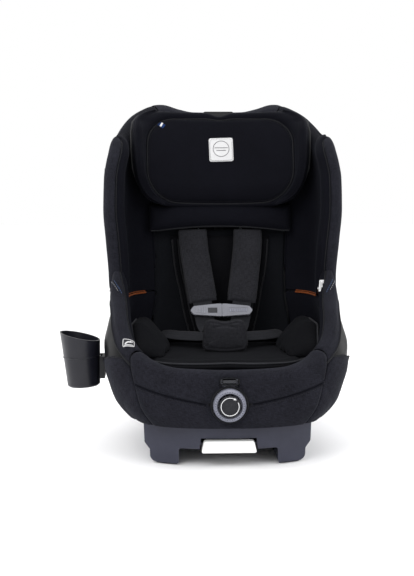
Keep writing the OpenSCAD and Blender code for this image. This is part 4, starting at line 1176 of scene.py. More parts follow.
stitch_r = front_at(sx[msk & (sx > 0)], sz[msk & (sx > 0)] - 4.2, 1.3)
fn_ = np.tile(np.array([0, -1.0, 0]), (len(stitch_l), 1))
stitches("apron_stitching", [stitch_l, stitch_r], [fn_, fn_[: len(stitch_r)]], "thread", "seat", pitch=4.6, length=3.1, r=0.38, lift=-0.1)

side_t = arc_thetas(308.6, 352, 140, 4.2)
TH, K = np.meshgrid(side_t, np.concatenate([[0, 0.01, 0.03], np.linspace(0.05, 0.96, 26), [0.98, 0.99, 1]]), indexing="ij")
top_s = np.minimum(zr(TH) - 15.5, np.interp(side_a(TH), [5, 30, 60], [190, 203, 203]))
Z = mix(apron_lo(TH), top_s, K)
SG = P(TH, Z, 0, 0)
sa, sb = arc(SG)
for sgn, tag in ((1, "right"), (-1, "left")):
    G0 = SG if sgn > 0 else mirror_x(SG)
    n = grid_normals(G0)
    sd = 1.0
    if n[len(G0) // 2, 10] @ np.array([sgn, -0.2, 0]) < 0:
        n, sd = -n, -1.0
    dd = seg_dist(TH, Z * 0.55, [(308.6, 155 * 0.55), (330, 114 * 0.55), (331.5, 84 * 0.55)]) * 1.6
    lift = groove(dd, 1.6, 1.8) + 1.4 * (1 - np.exp(-((dd / 12) ** 2))) * np.clip(np.arange(len(G0))[:, None] / 2.0, 0, 1)
    lift += wrinkle(G0, 0.4, 55, 61)
    lift -= 5.0 * np.clip((Z - (top_s - 34)) / 34, 0, 1) ** 2
    G1 = G0 + n * lift[..., None]
    ob = fabric_solid("apron_side_" + tag, G1, 3.0, "woven", "seat", Hf=hem(np.linspace(0, 1, len(side_t)), K[0], 160, 115, 1.6, "du"), side=sd)
    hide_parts("apron_cover")
    tube("apron_side_piping_" + tag, smooth_path(G1[:, -3] + n[:, -3] * 0.1, 90), 0.9, "piping", "seat", seg=8)

# ------------------------------------------------------------------ soft bodies made from closed hulls
def bm_from(verts, faces):
    bm = bmesh.new()
    vs = [bm.verts.new(v) for v in (np.asarray(verts, float) * MM).tolist()]
    bm.verts.ensure_lookup_table()
    for f in faces:
        try:
            bm.faces.new([vs[int(i)] for i in f])
        except ValueError:
            pass
    return bm


def puff(ob, cap, pressure=4.0, voxel=4.5, frames=20, pin=None):
    """Fill a closed cloth piece with stuffing and keep its new shape."""
    me = ob.data
    bpy.context.view_layer.objects.active = ob
    r = ob.modifiers.new("skin", "REMESH")
    r.mode = "VOXEL"
    r.voxel_size = voxel * MM
    deps = bpy.context.evaluated_depsgraph_get()
    new = bpy.data.meshes.new_from_object(ob.evaluated_get(deps))
    ob.modifiers.clear()
    mats = list(me.materials)
    ob.data = new
    new.materials.clear()
    for k in mats:
        new.materials.append(k)
    n = len(new.vertices)
    rest = np.zeros(n * 3, np.float32)
    new.vertices.foreach_get("co", rest)
    rest = rest.reshape(-1, 3)
    c = ob.modifiers.new("stuffing", "CLOTH")
    s = c.settings
    s.quality = 6
    s.mass = 0.25
    s.use_pressure = True
    s.uniform_pressure_force = pressure
    s.tension_stiffness = 18
    s.compression_stiffness = 14
    s.shear_stiffness = 8
    s.bending_stiffness = 0.6
    s.effector_weights.gravity = 0.0
    if pin is not None:
        g = ob.vertex_groups.new(name="pin")
        w = pin(rest * 1000.0)
        for i in np.nonzero(w > 0)[0]:
            g.add([int(i)], float(w[i]), "REPLACE")
        s.vertex_group_mass = "pin"
    c.point_cache.frame_start = 1
    c.point_cache.frame_end = frames
    for f in range(1, frames + 1):
        scene.frame_set(f)
    deps = bpy.context.evaluated_depsgraph_get()
    ev = ob.evaluated_get(deps)
    got = np.zeros(n * 3, np.float32)
    ev.data.vertices.foreach_get("co", got)
    got = got.reshape(-1, 3)
    ob.modifiers.clear()
    d = got - rest
    ln = np.linalg.norm(d, axis=1, keepdims=True) + 1e-9
    lim = cap * MM * np.tanh(ln / (cap * MM))
    out = rest + d / ln * lim
    new.vertices.foreach_set("co", out.ravel())
    new.update()
    scene.frame_set(1)
    s = ob.modifiers.new("smooth", "SUBSURF")
    s.levels = s.render_levels = 1
    deps = bpy.context.evaluated_depsgraph_get()
    fin = bpy.data.meshes.new_from_object(ob.evaluated_get(deps))
    ob.modifiers.clear()
    ob.data = fin
    fin.materials.clear()
    for k in mats:
        fin.materials.append(k)
    fin.polygons.foreach_set("use_smooth", np.ones(len(fin.polygons), bool))
    return ob


def mesh_arrays(ob):
    me = ob.data
    n = len(me.vertices)
    co = np.zeros(n * 3, np.float32)
    me.vertices.foreach_get("co", co)
    no = np.zeros(n * 3, np.float32)
    me.vertices.foreach_get("normal", no)
    return co.reshape(-1, 3) * 1000.0, no.reshape(-1, 3)


def set_mesh(ob, co):
    ob.data.vertices.foreach_set("co", (np.asarray(co, np.float32) * MM).ravel())
    ob.data.update()


def set_wv(ob, w):
    me = ob.data
    at = me.attributes.get("wv") or me.attributes.new("wv", "FLOAT_VECTOR", "POINT")
    v = np.zeros((len(me.vertices), 3), np.float32)
    v[:, : np.asarray(w).shape[1]] = w
    at.data.foreach_set("vector", v.ravel())


def bvh_of(ob):
    me = ob.data
    co, no = mesh_arrays(ob)
    return BVHTree.FromPolygons([tuple(c) for c in co], [tuple(p.vertices) for p in me.polygons])


def outline_pad(name, pts, z0, z1, mat, crown=5.0, r=6.0, n=170, rings=16, holes=None, under=None):
    """A pad cut to an outline in plan, rounded all round and slightly crowned."""
    o = np.asarray(pts, float)
    c = o.mean(0)
    L = np.concatenate([[0], np.cumsum(np.linalg.norm(np.diff(np.concatenate([o, o[:1]]), axis=0), axis=1))])
    s = np.linspace(0, L[-1], n, endpoint=False)
    loop = np.concatenate([o, o[:1]])
    ring = np.stack([np.interp(s, L, loop[:, k]) for k in (0, 1)], -1)
    V, F, W = [], [], []
    half = (z1 - z0) / 2
    prof = [(1 - r / 60 * 0, z0)]
    levels = []
    for a in np.linspace(-90, 90, 11):
        levels.append((1.0, r * (1 - math.cos(math.radians(a))), (z0 + z1) / 2 + half * math.sin(math.radians(a))))
    d, nn, bb = None, None, None
    nrm = np.stack([np.gradient(ring[:, 1]), -np.gradient(ring[:, 0])], -1)
    nrm /= np.linalg.norm(nrm, axis=1, keepdims=True)
    if np.sum(nrm * (ring - c)) < 0:
        nrm = -nrm
    rows = []
    for k in np.linspace(0, 1, rings)[:-1]:
        f = 1 - k
        rows.append(("b", k, z0))
    allrows = []
    for k in np.linspace(0.0, 1, rings)[:-1]:
        q = c + (ring - nrm * r - c) * k
        allrows.append(np.concatenate([q, np.full((n, 1), z0)], 1))
    for _, ins, z in levels:
        q = ring - nrm * ins
        allrows.append(np.concatenate([q, np.full((n, 1), z)], 1))
    for k in np.linspace(0.0, 1, rings)[:-1][::-1]:
        q = c + (ring - nrm * r - c) * k
        zc = z1 + crown * (1 - k ** 3)
        allrows.append(np.concatenate([q, np.full((n, 1), zc)], 1))
    R = np.array(allrows)
    m = len(R)
    V = R.reshape(-1, 3)
    F = []
    for i in range(m - 1):
        for j in range(n):
            j2 = (j + 1) % n
            F.append((i * n + j, i * n + j2, (i + 1) * n + j2, (i + 1) * n + j))
    if signed_volume(V, F) < 0:
        F = [tuple(reversed(f)) for f in F]
    ob = make(name, V, F, mat, None, wv=V[:, :2])
    bm = bmesh.new()
    bm.from_mesh(ob.data)
    bmesh.ops.remove_doubles(bm, verts=bm.verts, dist=1e-5)
    bm.to_mesh(ob.data)
    bm.free()
    return ob, ring, nrm


# ------------------------------------------------------------------ rigid pieces and hidden pieces
for node, w, mat, slot_ in (
    ("base_shell", 2.2, "base", "base_plastic"), ("foot_pads", 0.8, "rubber", "rubber"), ("base_cross_tube", 0.5, "steel", "steel"), ("base_screws", 0.4, "steel", "steel"),
    ("latch_bar", 0.4, "steel", "steel"), ("handle_spring", 0.0, "steel", "steel"),
    ("seat_deck", 1.2, "inner", "inner_plastic"), ("glide_pan", 1.2, "inner", "inner_plastic"), ("recline_rack", 0.5, "inner", "inner_plastic"), ("shell_screws", 0.4, "steel", "steel"),
    ("side_foam_left", 2.0, "foam", "foam"), ("side_foam_right", 2.0, "foam", "foam"), ("back_foam", 2.0, "foam", "foam"),
    ("rear_webbing", 0.2, "webbing", "webbing"), ("harness_yoke", 0.5, "steel", "steel"),
    ("dial_housing", 0.7, "ring", "knob_plastic"), ("dial_spool", 0.4, "inner", "inner_plastic"), ("release_lever", 1.2, "clip_dark", "clip_plastic"), ("release_pin", 0.2, "steel", "steel"),
    ("guide_rods", 0.5, "steel", "steel"), ("rod_brackets", 0.6, "inner", "inner_plastic"), ("height_rack", 0.5, "inner", "inner_plastic"),
    ("headrest_frame", 1.2, "inner", "inner_plastic"), ("headrest_carrier", 1.2, "inner", "inner_plastic"), ("headrest_lever", 1.4, "inner", "inner_plastic"),
    ("buckle_tongues", 0.3, "steel", "steel"), ("cup_socket", 1.0, "inner", "inner_plastic"), ("side_pods", 1.6, "gloss", "shell_plastic"),
):
    bevelled(node, w, mat, segments=2 if w < 1 else 3)
# the foam stays under the rounded top edge of the covers
for nd in ("side_foam_left_finish", "side_foam_right_finish", "back_foam_finish"):
    for v in OBJ[nd].data.vertices:
        near = float(top_h(min(228.0, abs(v.co.x) * 1000 / float(Wv(v.co.z * 1000)) * 228.0))) - 6.0
        if v.co.z * 1000 > max(585.0, near - 26.0):
            v.co.z -= 0.011
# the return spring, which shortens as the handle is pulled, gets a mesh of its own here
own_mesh(OBJ["handle_spring_finish"])


def revolve(name, prof, origin, axis, ref, mat, body, seg=72, mod=None, replaces=None):
    """Turned piece. prof is [(radius, height)], mod(radius, angle, i) may shape it."""
    axis = np.asarray(axis, float)
    axis /= np.linalg.norm(axis)
    ref = np.asarray(ref, float)
    ref = ref - axis * (ref @ axis)
    ref /= np.linalg.norm(ref)
    b = np.cross(axis, ref)
    V, F, W = [], [], []
    for i, (r, h) in enumerate(prof):
        for k in range(seg):
            a = 2 * math.pi * k / seg
            rr = mod(r, a, i) if mod else r
            V.append(np.asarray(origin, float) + axis * h + (ref * math.cos(a) + b * math.sin(a)) * rr)
            W.append((a * 20, h))
    m = len(prof)
    for i in range(m - 1):
        for k in range(seg):
            k2 = (k + 1) % seg
            F.append((i * seg + k, i * seg + k2, (i + 1) * seg + k2, (i + 1) * seg + k))
    F.append(tuple(range(seg))[::-1])
    F.append(tuple((m - 1) * seg + k for k in range(seg)))
    V = np.array(V)
    if signed_volume(V, F) < 0:
        F = [tuple(reversed(f)) for f in F]
    ob = make(name, V, F, mat, body, wv=np.array(W))
    for node in replaces or []:
        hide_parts(node)
    return ob


# dial knob with a scalloped rim and a circular arrow line
def round_prof(pts, r=1.0, n=4):
    """Round the corners of a profile."""
    p = [np.asarray(q, float) for q in pts]
    out = [p[0]]
    for a, b, c in zip(p[:-2], p[1:-1], p[2:]):
        d1, d2 = np.linalg.norm(a - b), np.linalg.norm(c - b)
        k = min(r, d1 * 0.45, d2 * 0.45)
        s, e = b + (a - b) / d1 * k, b + (c - b) / d2 * k
        for t in np.linspace(0, 1, n):
            out.append((1 - t) ** 2 * s + 2 * t * (1 - t) * b + t * t * e)
    out.append(p[-1])
    return [tuple(q) for q in out]


DF = (0.0, -238.0, 120.0)


def scallop(r, a, i):
    if r < 17:
        return r
    return r - 0.9 * np.clip(math.cos(12 * (a - math.radians(15))) - 0.35, 0, 1) / 0.65 * np.clip((r - 17) / 3.5, 0, 1)


prof = round_prof([(0.2, 1.0), (20.4, 1.0), (20.4, 15.0), (18.0, 17.3), (15.6, 16.2), (0.2, 15.6)], 1.2, 5)
revolve("dial_knob", prof, DF, (0, -1, 0), (0, 0, 1), "knob", "dial", seg=144, mod=scallop, replaces=["tension_dial"])
a = np.radians(np.linspace(62, 388, 120))
arc_pts = np.stack([16.4 * np.sin(a), np.full(len(a), -238 - 16.45), 120 + 16.4 * np.cos(a)], -1)
tube("dial_arrow_line", arc_pts, 0.75, "ink", "dial", seg=8)
tip = arc_pts[-1]
dirn = arc_pts[-1] - arc_pts[-2]
dirn /= np.linalg.norm(dirn)
nb = np.array([dirn[2], 0, -dirn[0]])
tri = [tip + dirn * 4.2, tip - dirn * 0.4 + nb * 2.3, tip - dirn * 0.4 - nb * 2.3]
V = [p + np.array([0, -0.7, 0]) for p in tri] + [p + np.array([0, 0.9, 0]) for p in tri]
F = [(0, 1, 2), (5, 4, 3), (0, 3, 4, 1), (1, 4, 5, 2), (2, 5, 3, 0)]
if signed_volume(V, F) < 0:
    F = [tuple(reversed(f)) for f in F]
make("dial_arrow_tip", V, F, "ink", "dial", smooth=False, wv=np.zeros((6, 2)))
dots_V, dots_F = [], []
for k in range(36):
    an = 2 * math.pi * k / 36
    c = np.array([26.0 * math.sin(an), -238 - 12.4, 120 + 26.0 * math.cos(an)])
    base_i = len(dots_V)
    for rr, dy in ((0.8, 0.6), (0.75, -0.25), (0.4, -0.55)):
        for q in range(8):
            b_ = q * math.pi / 4
            dots_V.append(c + np.array([rr * math.cos(b_), dy, rr * math.sin(b_)]))
    for lv in range(2):
        for q in range(8):
            q2 = (q + 1) % 8
            dots_F.append((base_i + lv * 8 + q, base_i + lv * 8 + q2, base_i + (lv + 1) * 8 + q2, base_i + (lv + 1) * 8 + q))
    dots_F.append(tuple(base_i + q for q in range(8))[::-1])
    dots_F.append(tuple(base_i + 16 + q for q in range(8)))
if signed_volume(dots_V, dots_F) < 0:
    dots_F = [tuple(reversed(f)) for f in dots_F]
make("dial_ring_dots", dots_V, dots_F, "knob", "seat", wv=np.zeros((len(dots_V), 2)))
dots_V, dots_F = [], []
for iy in range(-5, 6):
    for ix in range(-6, 7):
        cx_, cz_ = (ix + 0.5 * (iy % 2)) * 2.5, iy * 2.17
        if math.hypot(cx_, cz_) > 12.2:
            continue
        base_i = len(dots_V)
        for rr, dy in ((0.62, 0.4), (0.5, -0.35)):
            for q in range(6):
                dots_V.append((cx_ + rr * math.cos(q * math.pi / 3), -238 - 15.6 + dy, 120 + cz_ + rr * math.sin(q * math.pi / 3)))
        for q in range(6):
            q2 = (q + 1) % 6
            dots_F.append((base_i + q, base_i + q2, base_i + 6 + q2, base_i + 6 + q))
        dots_F.append(tuple(base_i + q for q in range(6))[::-1])
        dots_F.append(tuple(base_i + 6 + q for q in range(6)))
if signed_volume(dots_V, dots_F) < 0:
    dots_F = [tuple(reversed(f)) for f in dots_F]
make("dial_grip_dots", dots_V, dots_F, "clip_dark", "dial", wv=np.zeros((len(dots_V), 2)))

# recline handle, cup
bevelled("recline_handle", 2.2, "handle", segments=4)
bevelled("cup_holder", 1.1, "cup", segments=3)
CF = np.array([-273.0, -90.0, 128.0])
tilt = math.radians(-3.5)
cup_axis = np.array([math.sin(tilt), 0, math.cos(tilt)])
an = np.linspace(0, 2 * math.pi, 90, endpoint=False)
ex, ey = np.array([math.cos(tilt), 0, -math.sin(tilt)]), np.array([0, 1.0, 0])
for h, tag in ((58.0, "middle"),):
    rr = 31.5 + 7.5 * h / 114 - 0.05
    ring = CF + cup_axis * h + np.outer(np.cos(an), ex) * rr + np.outer(np.sin(an), ey) * rr
    tube("cup_band_" + tag, ring, 1.2, "cup", "cup", closed=True, seg=10)


# ------------------------------------------------------------------ seat cushion and insert
def back_at(x, z, ox, oy):
    """Point of the bucket's back at a given x and height, with inward offsets."""
    x, z, ox, oy = np.broadcast_arrays(*[np.asarray(v, float) for v in (x, z, ox, oy)])
    c = np.clip(np.abs(x) / (Wv(z) - ox), 0, 0.9999) ** (1 / SQ)
    s = np.sqrt(1 - c * c)
    y = Yc(z) + (Yb(z) - oy - Yc(z)) * s ** SQ
    return np.stack([x, y, z], -1)


lo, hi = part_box("seat_cushion")
lo, hi = np.array(lo) * 1000, np.array(hi) * 1000
t = np.arange(0, 360, 4.0)
ol = np.array([P(k, 165, 35, 59 if k < 180 else 35)[:2] for k in t])
ol = ol[(ol[:, 1] > -206)]
ol[:, 1] = np.minimum(ol[:, 1], hi[1])
cushion, _, _ = outline_pad("seat_cushion_cover", ol * [0.985, 0.985], lo[2] + 0.5, 170.5, "jersey", crown=3.5, r=8.0)
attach(cushion, "seat")
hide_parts("seat_cushion")

corners = [(150, -145), (131, -170), (112, -184), (82, -191.5), (50, -194), (22, -191), (0, -188)]
half = corners + [(-x, y) for x, y in corners[::-1][1:]]
side_l = [(-152, -120), (-148, -60), (-140, 0), (-126, 40), (-112, 47)]
ol = np.array(half + side_l + [(0, 48)] + [(-x, y) for x, y in side_l[::-1]])
ol = smooth_path(np.concatenate([ol, ol[:1]]), 220)[:-1]
pad, ring, nrm = outline_pad("insert_seat", ol, 176.4, 186.6, "insert", crown=5.5, r=5.2, n=220, rings=22)
co, no = mesh_arrays(pad)
X, Y, Z = co.T
top = Z > 181
slit = np.minimum(np.abs(np.hypot(np.maximum(np.abs(X) - 17, 0), Y + 56) - 0), 99)
dz = np.where(top, groove(slit, 5.0, 3.2), 0)
front_band = seg_dist(X, Y, [tuple(p) for p in smooth_path(np.array([(-141, -138), (-122, -160), (-104, -171), (-78, -178), (-48, -181), (0, -176), (48, -181), (78, -178), (104, -171), (122, -160), (141, -138)]), 60)])
dz += np.where(top, groove(front_band, 2.6, 2.4) + 2.2 * np.exp(-(((front_band - 7) / 6) ** 2)) * (Y < -120), 0)
dz += np.where(top, -3.0 * np.exp(-((X / 60) ** 2)) * np.clip((Y + 150) / 60, 0, 1) * np.clip((60 - Y) / 60, 0, 1), 0)
dz += np.where(top, wrinkle(co, 0.5, 60, 71), 0)
co[:, 2] += dz
co[:, 2] = np.where(top, np.maximum(co[:, 2], 179.5), co[:, 2])
set_mesh(pad, co)
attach(pad, "seat")
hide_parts("insert_seat_pad")
fidx = [i for i in range(len(ring)) if ring[i, 1] < -118]
fidx = sorted(fidx, key=lambda i: ring[i, 0])
fr = np.array([[ring[i, 0] - nrm[i, 0] * 1.6, ring[i, 1] - nrm[i, 1] * 1.6, 186.8] for i in fidx])
fr2 = np.array([[ring[i, 0] - nrm[i, 0] * 0.2, ring[i, 1] - nrm[i, 1] * 0.2, 180.2] for i in fidx])
tube("insert_front_piping", smooth_path(fr, 200), 1.9, "piping_light", "seat", seg=10)
# rolled front edge below the piping
tube("insert_front_roll", smooth_path(fr2 - [0, -1.0, 0], 200), 4.2, "insert", "seat", seg=14)

SPH = [((163, -132, 196), 22), ((167, -66, 222), 27), ((160, -6, 226), 25), ((150, 34, 208), 19)]
INN = [((122, -128, 186), 9), ((112, -70, 187), 10), ((112, -10, 188), 11), ((120, 30, 190), 12)]
for sgn, tag in ((1, "right"), (-1, "left")):
    bm = bmesh.new()
    pts = []
    for (cx, cy, cz), r in SPH + INN:
        rr = r - (3.0 if r > 14 else 2.0)
        for i in range(14):
            ph = math.pi * (i + 0.5) / 14
            for k in range(24):
                a_ = 2 * math.pi * k / 24
                p = (cx + rr * math.sin(ph) * math.cos(a_), cy + rr * math.sin(ph) * math.sin(a_), cz + rr * math.cos(ph))
                pts.append((sgn * p[0], p[1], max(p[2], 188.2)))
    vs = [bm.verts.new([c * MM for c in p]) for p in sorted(set((round(a_, 3), round(b_, 3), round(c_, 3)) for a_, b_, c_ in pts))]
    hull = bmesh.ops.convex_hull(bm, input=bm.verts)
    junk = [g for g in hull["geom_interior"] + hull["geom_unused"] if isinstance(g, bmesh.types.BMVert)]
    bmesh.ops.delete(bm, geom=list(set(junk)), context="VERTS")
    me = bpy.data.meshes.new("insert_bolster_" + tag)
    bm.to_mesh(me)
    bm.free()
    me.materials.append(MATS["insert"])
    ob = bpy.data.objects.new("insert_bolster_soft_" + tag, me)
    scene.collection.objects.link(ob)
    puff(ob, 4.5, pressure=4.0, voxel=5.0)
    co, no = mesh_arrays(ob)
    co[:, 2] = np.maximum(co[:, 2], 186.9)
    # the ridge seam pulls the cloth in
    ridge = []
    bv = BVHTree.FromPolygons([tuple(c) for c in co], [tuple(p.vertices) for p in ob.data.polygons])
    for q in np.linspace(0, 1, 60):
        c = smooth_path(np.array([s_[0] for s_ in SPH], float), 61)[int(round(q * 60))]
        c = c * [sgn, 1, 1]
        dr = np.array([sgn * 0.62, -0.12 - 0.25 * (1 - q), 0.78])
        dr /= np.linalg.norm(dr)
        hit = bv.ray_cast(Vector(c + dr * 90), Vector(-dr), 120)
        if hit[0] is not None:
            ridge.append(np.array(hit[0]))
    ridge = smooth_path(np.array(ridge), 120)
    dmin = np.min(np.linalg.norm(co[:, None, :] - ridge[None, ::2, :], axis=2), axis=1)
    co = co + no * (groove(dmin, 2.2, 3.0) + wrinkle(co, 0.5, 45, 73))[:, None]
    co[:, 2] = np.maximum(co[:, 2], 186.9)
    set_mesh(ob, co)
    set_wv(ob, np.stack([co[:, 1], co[:, 2] + co[:, 0] * 0.6], -1))
    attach(ob, "seat")
    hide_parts("insert_bolster_" + tag)
    tube("insert_bolster_piping_" + tag, ridge + [0, 0, 0.3], 1.7, "piping_light", "seat", seg=10)

hwz = pchip([(200, 66), (212, 69), (235, 75.5), (290, 86), (331, 95), (403, 102.5)])
us = np.concatenate([-1 + 0.16 * (1 - np.cos(np.linspace(0, math.pi / 2, 9)))[:-1], np.linspace(-0.84, 0.84, 44), 1 - 0.16 * (1 - np.cos(np.linspace(math.pi / 2, 0, 9)))[1:]])
zs = np.concatenate([[203, 203.4, 204.4, 206.2, 209], np.linspace(213, 392, 72), [395.5, 397.6, 398.7, 399]])
U, Z = np.meshgrid(us, zs, indexing="ij")
X = hwz(Z) * U
ex_ = (1 - np.abs(U)) * hwz(Z)
ev = np.minimum(Z - 203, 399 - Z)
q = np.clip(np.minimum(ex_, ev) / 9.0, 0, 1)
H = np.sqrt(np.clip(1 - (1 - q) ** 2, 0, 1))
inner_line = 14.0
lift = groove(ex_ - inner_line, 3.4, 2.4) + 1.6 * np.sin(math.pi * np.clip(ex_ / inner_line, 0, 1)) + 3.0 * np.clip((ex_ - inner_line) / 40, 0, 1) ** 0.5
lift -= 2.0 * np.exp(-((X / 22) ** 2))
lift += 0.6 * wrinkle(np.stack([X, Z * 0, Z], -1), 1.0, 60, 77)
T = 9.5 + lift
mid_o = 34.5 + 6
A_ = back_at(X, Z, mid_o + (T - 6) * H, mid_o + 22 + (T - 6) * H)
B_ = back_at(X, Z, mid_o - 5.5 * H, mid_o + 22 - 5.5 * H)
ob = solid("insert_back", A_, B_, "insert", "seat")
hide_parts("insert_back_pad")
paths = []
for sg in (-1, 1):
    for off, up in ((1.5, 0.3), (inner_line, 0.2)):
        zz = np.linspace(206, 396, 90)
        uu_ = sg * (1 - off / hwz(zz))
        pth = np.stack([[np.interp(u_, us, A_[:, np.argmin(abs(zs - z_)), k]) for k in range(3)] for u_, z_ in zip(uu_, zz)])
        pth[:, 2] = zz
        pth[:, 1] -= up + (1.2 if off < 3 else 0)
        paths.append(smooth_path(pth[::3], 120))
tube("insert_back_piping", paths, 1.7, "piping", "seat", seg=10)


# ------------------------------------------------------------------ headrest
hw_t = pchip([(276, 130), (283, 148), (292, 163), (306, 174), (325, 182), (350, 186), (400, 188), (440, 187), (458, 179), (470, 165), (478, 148)])
hy_t = pchip([(276, -62), (300, -84), (330, -104), (370, -114), (420, -112), (450, -96), (470, -76), (480, -62)])
yb_t = pchip([(283, -40), (300, -50), (320, -54), (450, -54), (470, -46), (480, -36)])


def HP(th, t, ox, y0, yb):
    th, t = np.broadcast_arrays(np.asarray(th, float), np.asarray(t, float))
    c, s = np.cos(np.radians(th)), np.sin(np.radians(th))
    x = (hw_t(t) - ox) * np.sign(c) * np.abs(c) ** 0.8
    y = y0 + (yb - y0) * np.abs(s) ** 0.8
    return np.stack([x, y, t], -1)


ths = np.concatenate([[0, 0.5, 1.4, 3, 5.5, 8.5], np.linspace(12, 168, 84), [171.5, 174.5, 177, 178.6, 179.5, 180]])
tt_ = np.concatenate([276 + 14 * (1 - np.cos(np.linspace(0, math.pi / 2, 9))), np.linspace(291.5, 463, 88), 478 - 14 * (1 - np.cos(np.linspace(math.pi / 2, 0, 9)))])
TH, T = np.meshgrid(ths, tt_, indexing="ij")
Fr = HP(TH, T, 22, hy_t(T), yb_t(T))
Re = HP(TH, T, 6.3, hy_t(T) + 6, -17.3 + 0 * T)
C_ = (Fr + Re) / 2
fa = np.zeros(TH.shape)
fa[1:] = np.cumsum(np.linalg.norm(np.diff(Fr, axis=0), axis=-1), 0)
S_half = fa[-1] / 2
S = fa - S_half[None, :]
edge_s = S_half[None, :] - np.abs(S)
edge_t = np.minimum(T - 276, 478 - T)
q = np.clip(np.minimum((edge_s + 0.0) / 11.0, edge_t / 13.0), 0, 1)
H = np.sqrt(np.clip(1 - (1 - q) ** 2, 0, 1))
HX = 152.0
panel_sd = box_sd(Fr[..., 0], T - 372, 150, 89, 62)
# the rim swells, the middle is held in by its seam
pf = groove(panel_sd, 4.2, 3.4)
pf += 6.0 * np.sin(math.pi * np.clip(panel_sd / 28, 0, 1)) * (panel_sd > 0)
pf += 3.5 * (1 - np.exp(-np.clip(-panel_sd, 0, 200) / 28)) * (panel_sd < 0)
pf += wrinkle(Fr, 0.7, 90, 81)
notch = np.exp(-((Fr[..., 0] / 16) ** 2)) * np.clip((T - 455) / 20, 0, 1)
pf -= 6.0 * notch
nf = grid_normals(Fr)
if nf[len(ths) // 2, 40, 1] > 0:
    nf = -nf
A_ = C_ + (Fr - C_) * H[..., None] + nf * (pf * np.clip(H, 0, 1) ** 1.5)[..., None]
nr_ = -grid_normals(Re)
if nr_[len(ths) // 2, 40, 1] < 0:
    nr_ = -nr_
B_ = C_ + (Re - C_) * H[..., None]
side_sw = np.exp(-((edge_s / 16) ** 2))
A_[..., 2] += 0
drop_top = 6.5 * np.exp(-((Fr[..., 0] / 18) ** 2)) * np.clip((T - 452) / 26, 0, 1)
A_[..., 2] -= drop_top
B_[..., 2] -= drop_top
head = solid("headrest_cover", back_pt(A_), back_pt(B_), "jersey", "headrest")
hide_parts("headrest_pad")
HA = back_pt(A_)
HN = grid_normals(HA)
if HN[len(ths) // 2, 40, 1] > 0:
    HN = -HN


def on_head(x, t, up=0.0):
    """Points on the headrest's front at x and height t along the back."""
    x, t = np.atleast_1d(np.asarray(x, float)), np.atleast_1d(np.asarray(t, float))
    out, nn = [], []
    for a_, b_ in zip(x, t):
        j = int(np.clip(np.searchsorted(tt_, b_) - 1, 0, len(tt_) - 2))
        f = (b_ - tt_[j]) / (tt_[j + 1] - tt_[j])
        row = HA[:, j] * (1 - f) + HA[:, j + 1] * f
        nr = HN[:, j] * (1 - f) + HN[:, j + 1] * f
        order = np.argsort(row[:, 0])
        out.append([np.interp(a_, row[order, 0], row[order, k]) for k in range(3)])
        nn.append([np.interp(a_, row[order, 0], nr[order, k]) for k in range(3)])
    out, nn = np.array(out), np.array(nn)
    nn /= np.linalg.norm(nn, axis=1, keepdims=True)
    return out + nn * up, nn


def rounded_rect(hx, hy, r, n=24, cx=0.0, cy=0.0, rot=0.0):
    o = []
    for k, (sx, sy) in enumerate(((1, 1), (-1, 1), (-1, -1), (1, -1))):
        for a_ in np.linspace(k * 90, k * 90 + 90, n):
            o.append((sx * (hx - r) + r * math.cos(math.radians(a_)), sy * (hy - r) + r * math.sin(math.radians(a_))))
    o = np.array(o)
    ca, sa_ = math.cos(math.radians(rot)), math.sin(math.radians(rot))
    return np.stack([cx + o[:, 0] * ca - o[:, 1] * sa_, cy + o[:, 0] * sa_ + o[:, 1] * ca], -1)


rr = rounded_rect(150, 89, 62, 30, 0, 372)
rr = smooth_path(np.concatenate([rr, rr[:1]]), 240)[:-1]
pp, pn = on_head(rr[:, 0], rr[:, 1], 0.4)
tube("headrest_piping", pp, 1.5, "piping", "headrest", closed=True, seg=10)
rr2 = rounded_rect(146, 85, 59, 30, 0, 372)
rr2 = smooth_path(np.concatenate([rr2, rr2[:1]]), 240)
pp2, pn2 = on_head(rr2[:, 0], rr2[:, 1], 0.1)
stitches("headrest_stitching", [pp2], [pn2], "thread", "headrest", pitch=4.6, length=3.1, r=0.36)

# shoulder band below the headrest
xs = np.concatenate([-147 + 10 * (1 - np.cos(np.linspace(0, math.pi / 2, 7)))[:-1], np.linspace(-137, 137, 56), 147 - 10 * (1 - np.cos(np.linspace(math.pi / 2, 0, 7)))[1:]])
vs_ = np.concatenate([0.2 * (1 - np.cos(np.linspace(0, math.pi / 2, 7)))[:-1], np.linspace(0.2, 0.8, 16), 1 - 0.2 * (1 - np.cos(np.linspace(math.pi / 2, 0, 7)))[1:]])
Xb, Vb = np.meshgrid(xs, vs_, indexing="ij")
lo_ = 225.5 + 9.0 * np.clip(1 - (Xb / 128) ** 2, 0, 1)
Tb = mix(lo_, 281.0, Vb)
ed = np.minimum(147 - np.abs(Xb), np.minimum(Tb - lo_, 281.0 - Tb))
q = np.clip(ed / 13.0, 0, 1)
H = np.sqrt(np.clip(1 - (1 - q) ** 2, 0, 1))
sw = 5.5 * np.sin(math.pi * np.clip((Tb - lo_) / (281 - lo_), 0, 1)) * np.clip((147 - np.abs(Xb)) / 25, 0, 1) ** 0.5
sw += wrinkle(np.stack([Xb, 0 * Xb, Tb], -1), 0.9, 55, 85)
for xs_ in (-57, 57):
    sw += groove(Xb - xs_, 1.2, 7)
front = -28 - (9 + sw) * H
back_ = -28 + 8.5 * H
ob = solid("shoulder_band_cover", back_pt(np.stack([Xb, front, Tb], -1)), back_pt(np.stack([Xb, back_, Tb], -1)), "jersey", "headrest")
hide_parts("shoulder_band")
xx = np.linspace(-143, 143, 100)
lo2 = 225.5 + 9.0 * np.clip(1 - (xx / 128) ** 2, 0, 1) + 1.2
tube("shoulder_band_piping", smooth_path(back_pt(np.stack([xx, -33.0 - 0 * xx, lo2], -1)), 120), 1.5, "piping", "headrest", seg=10)


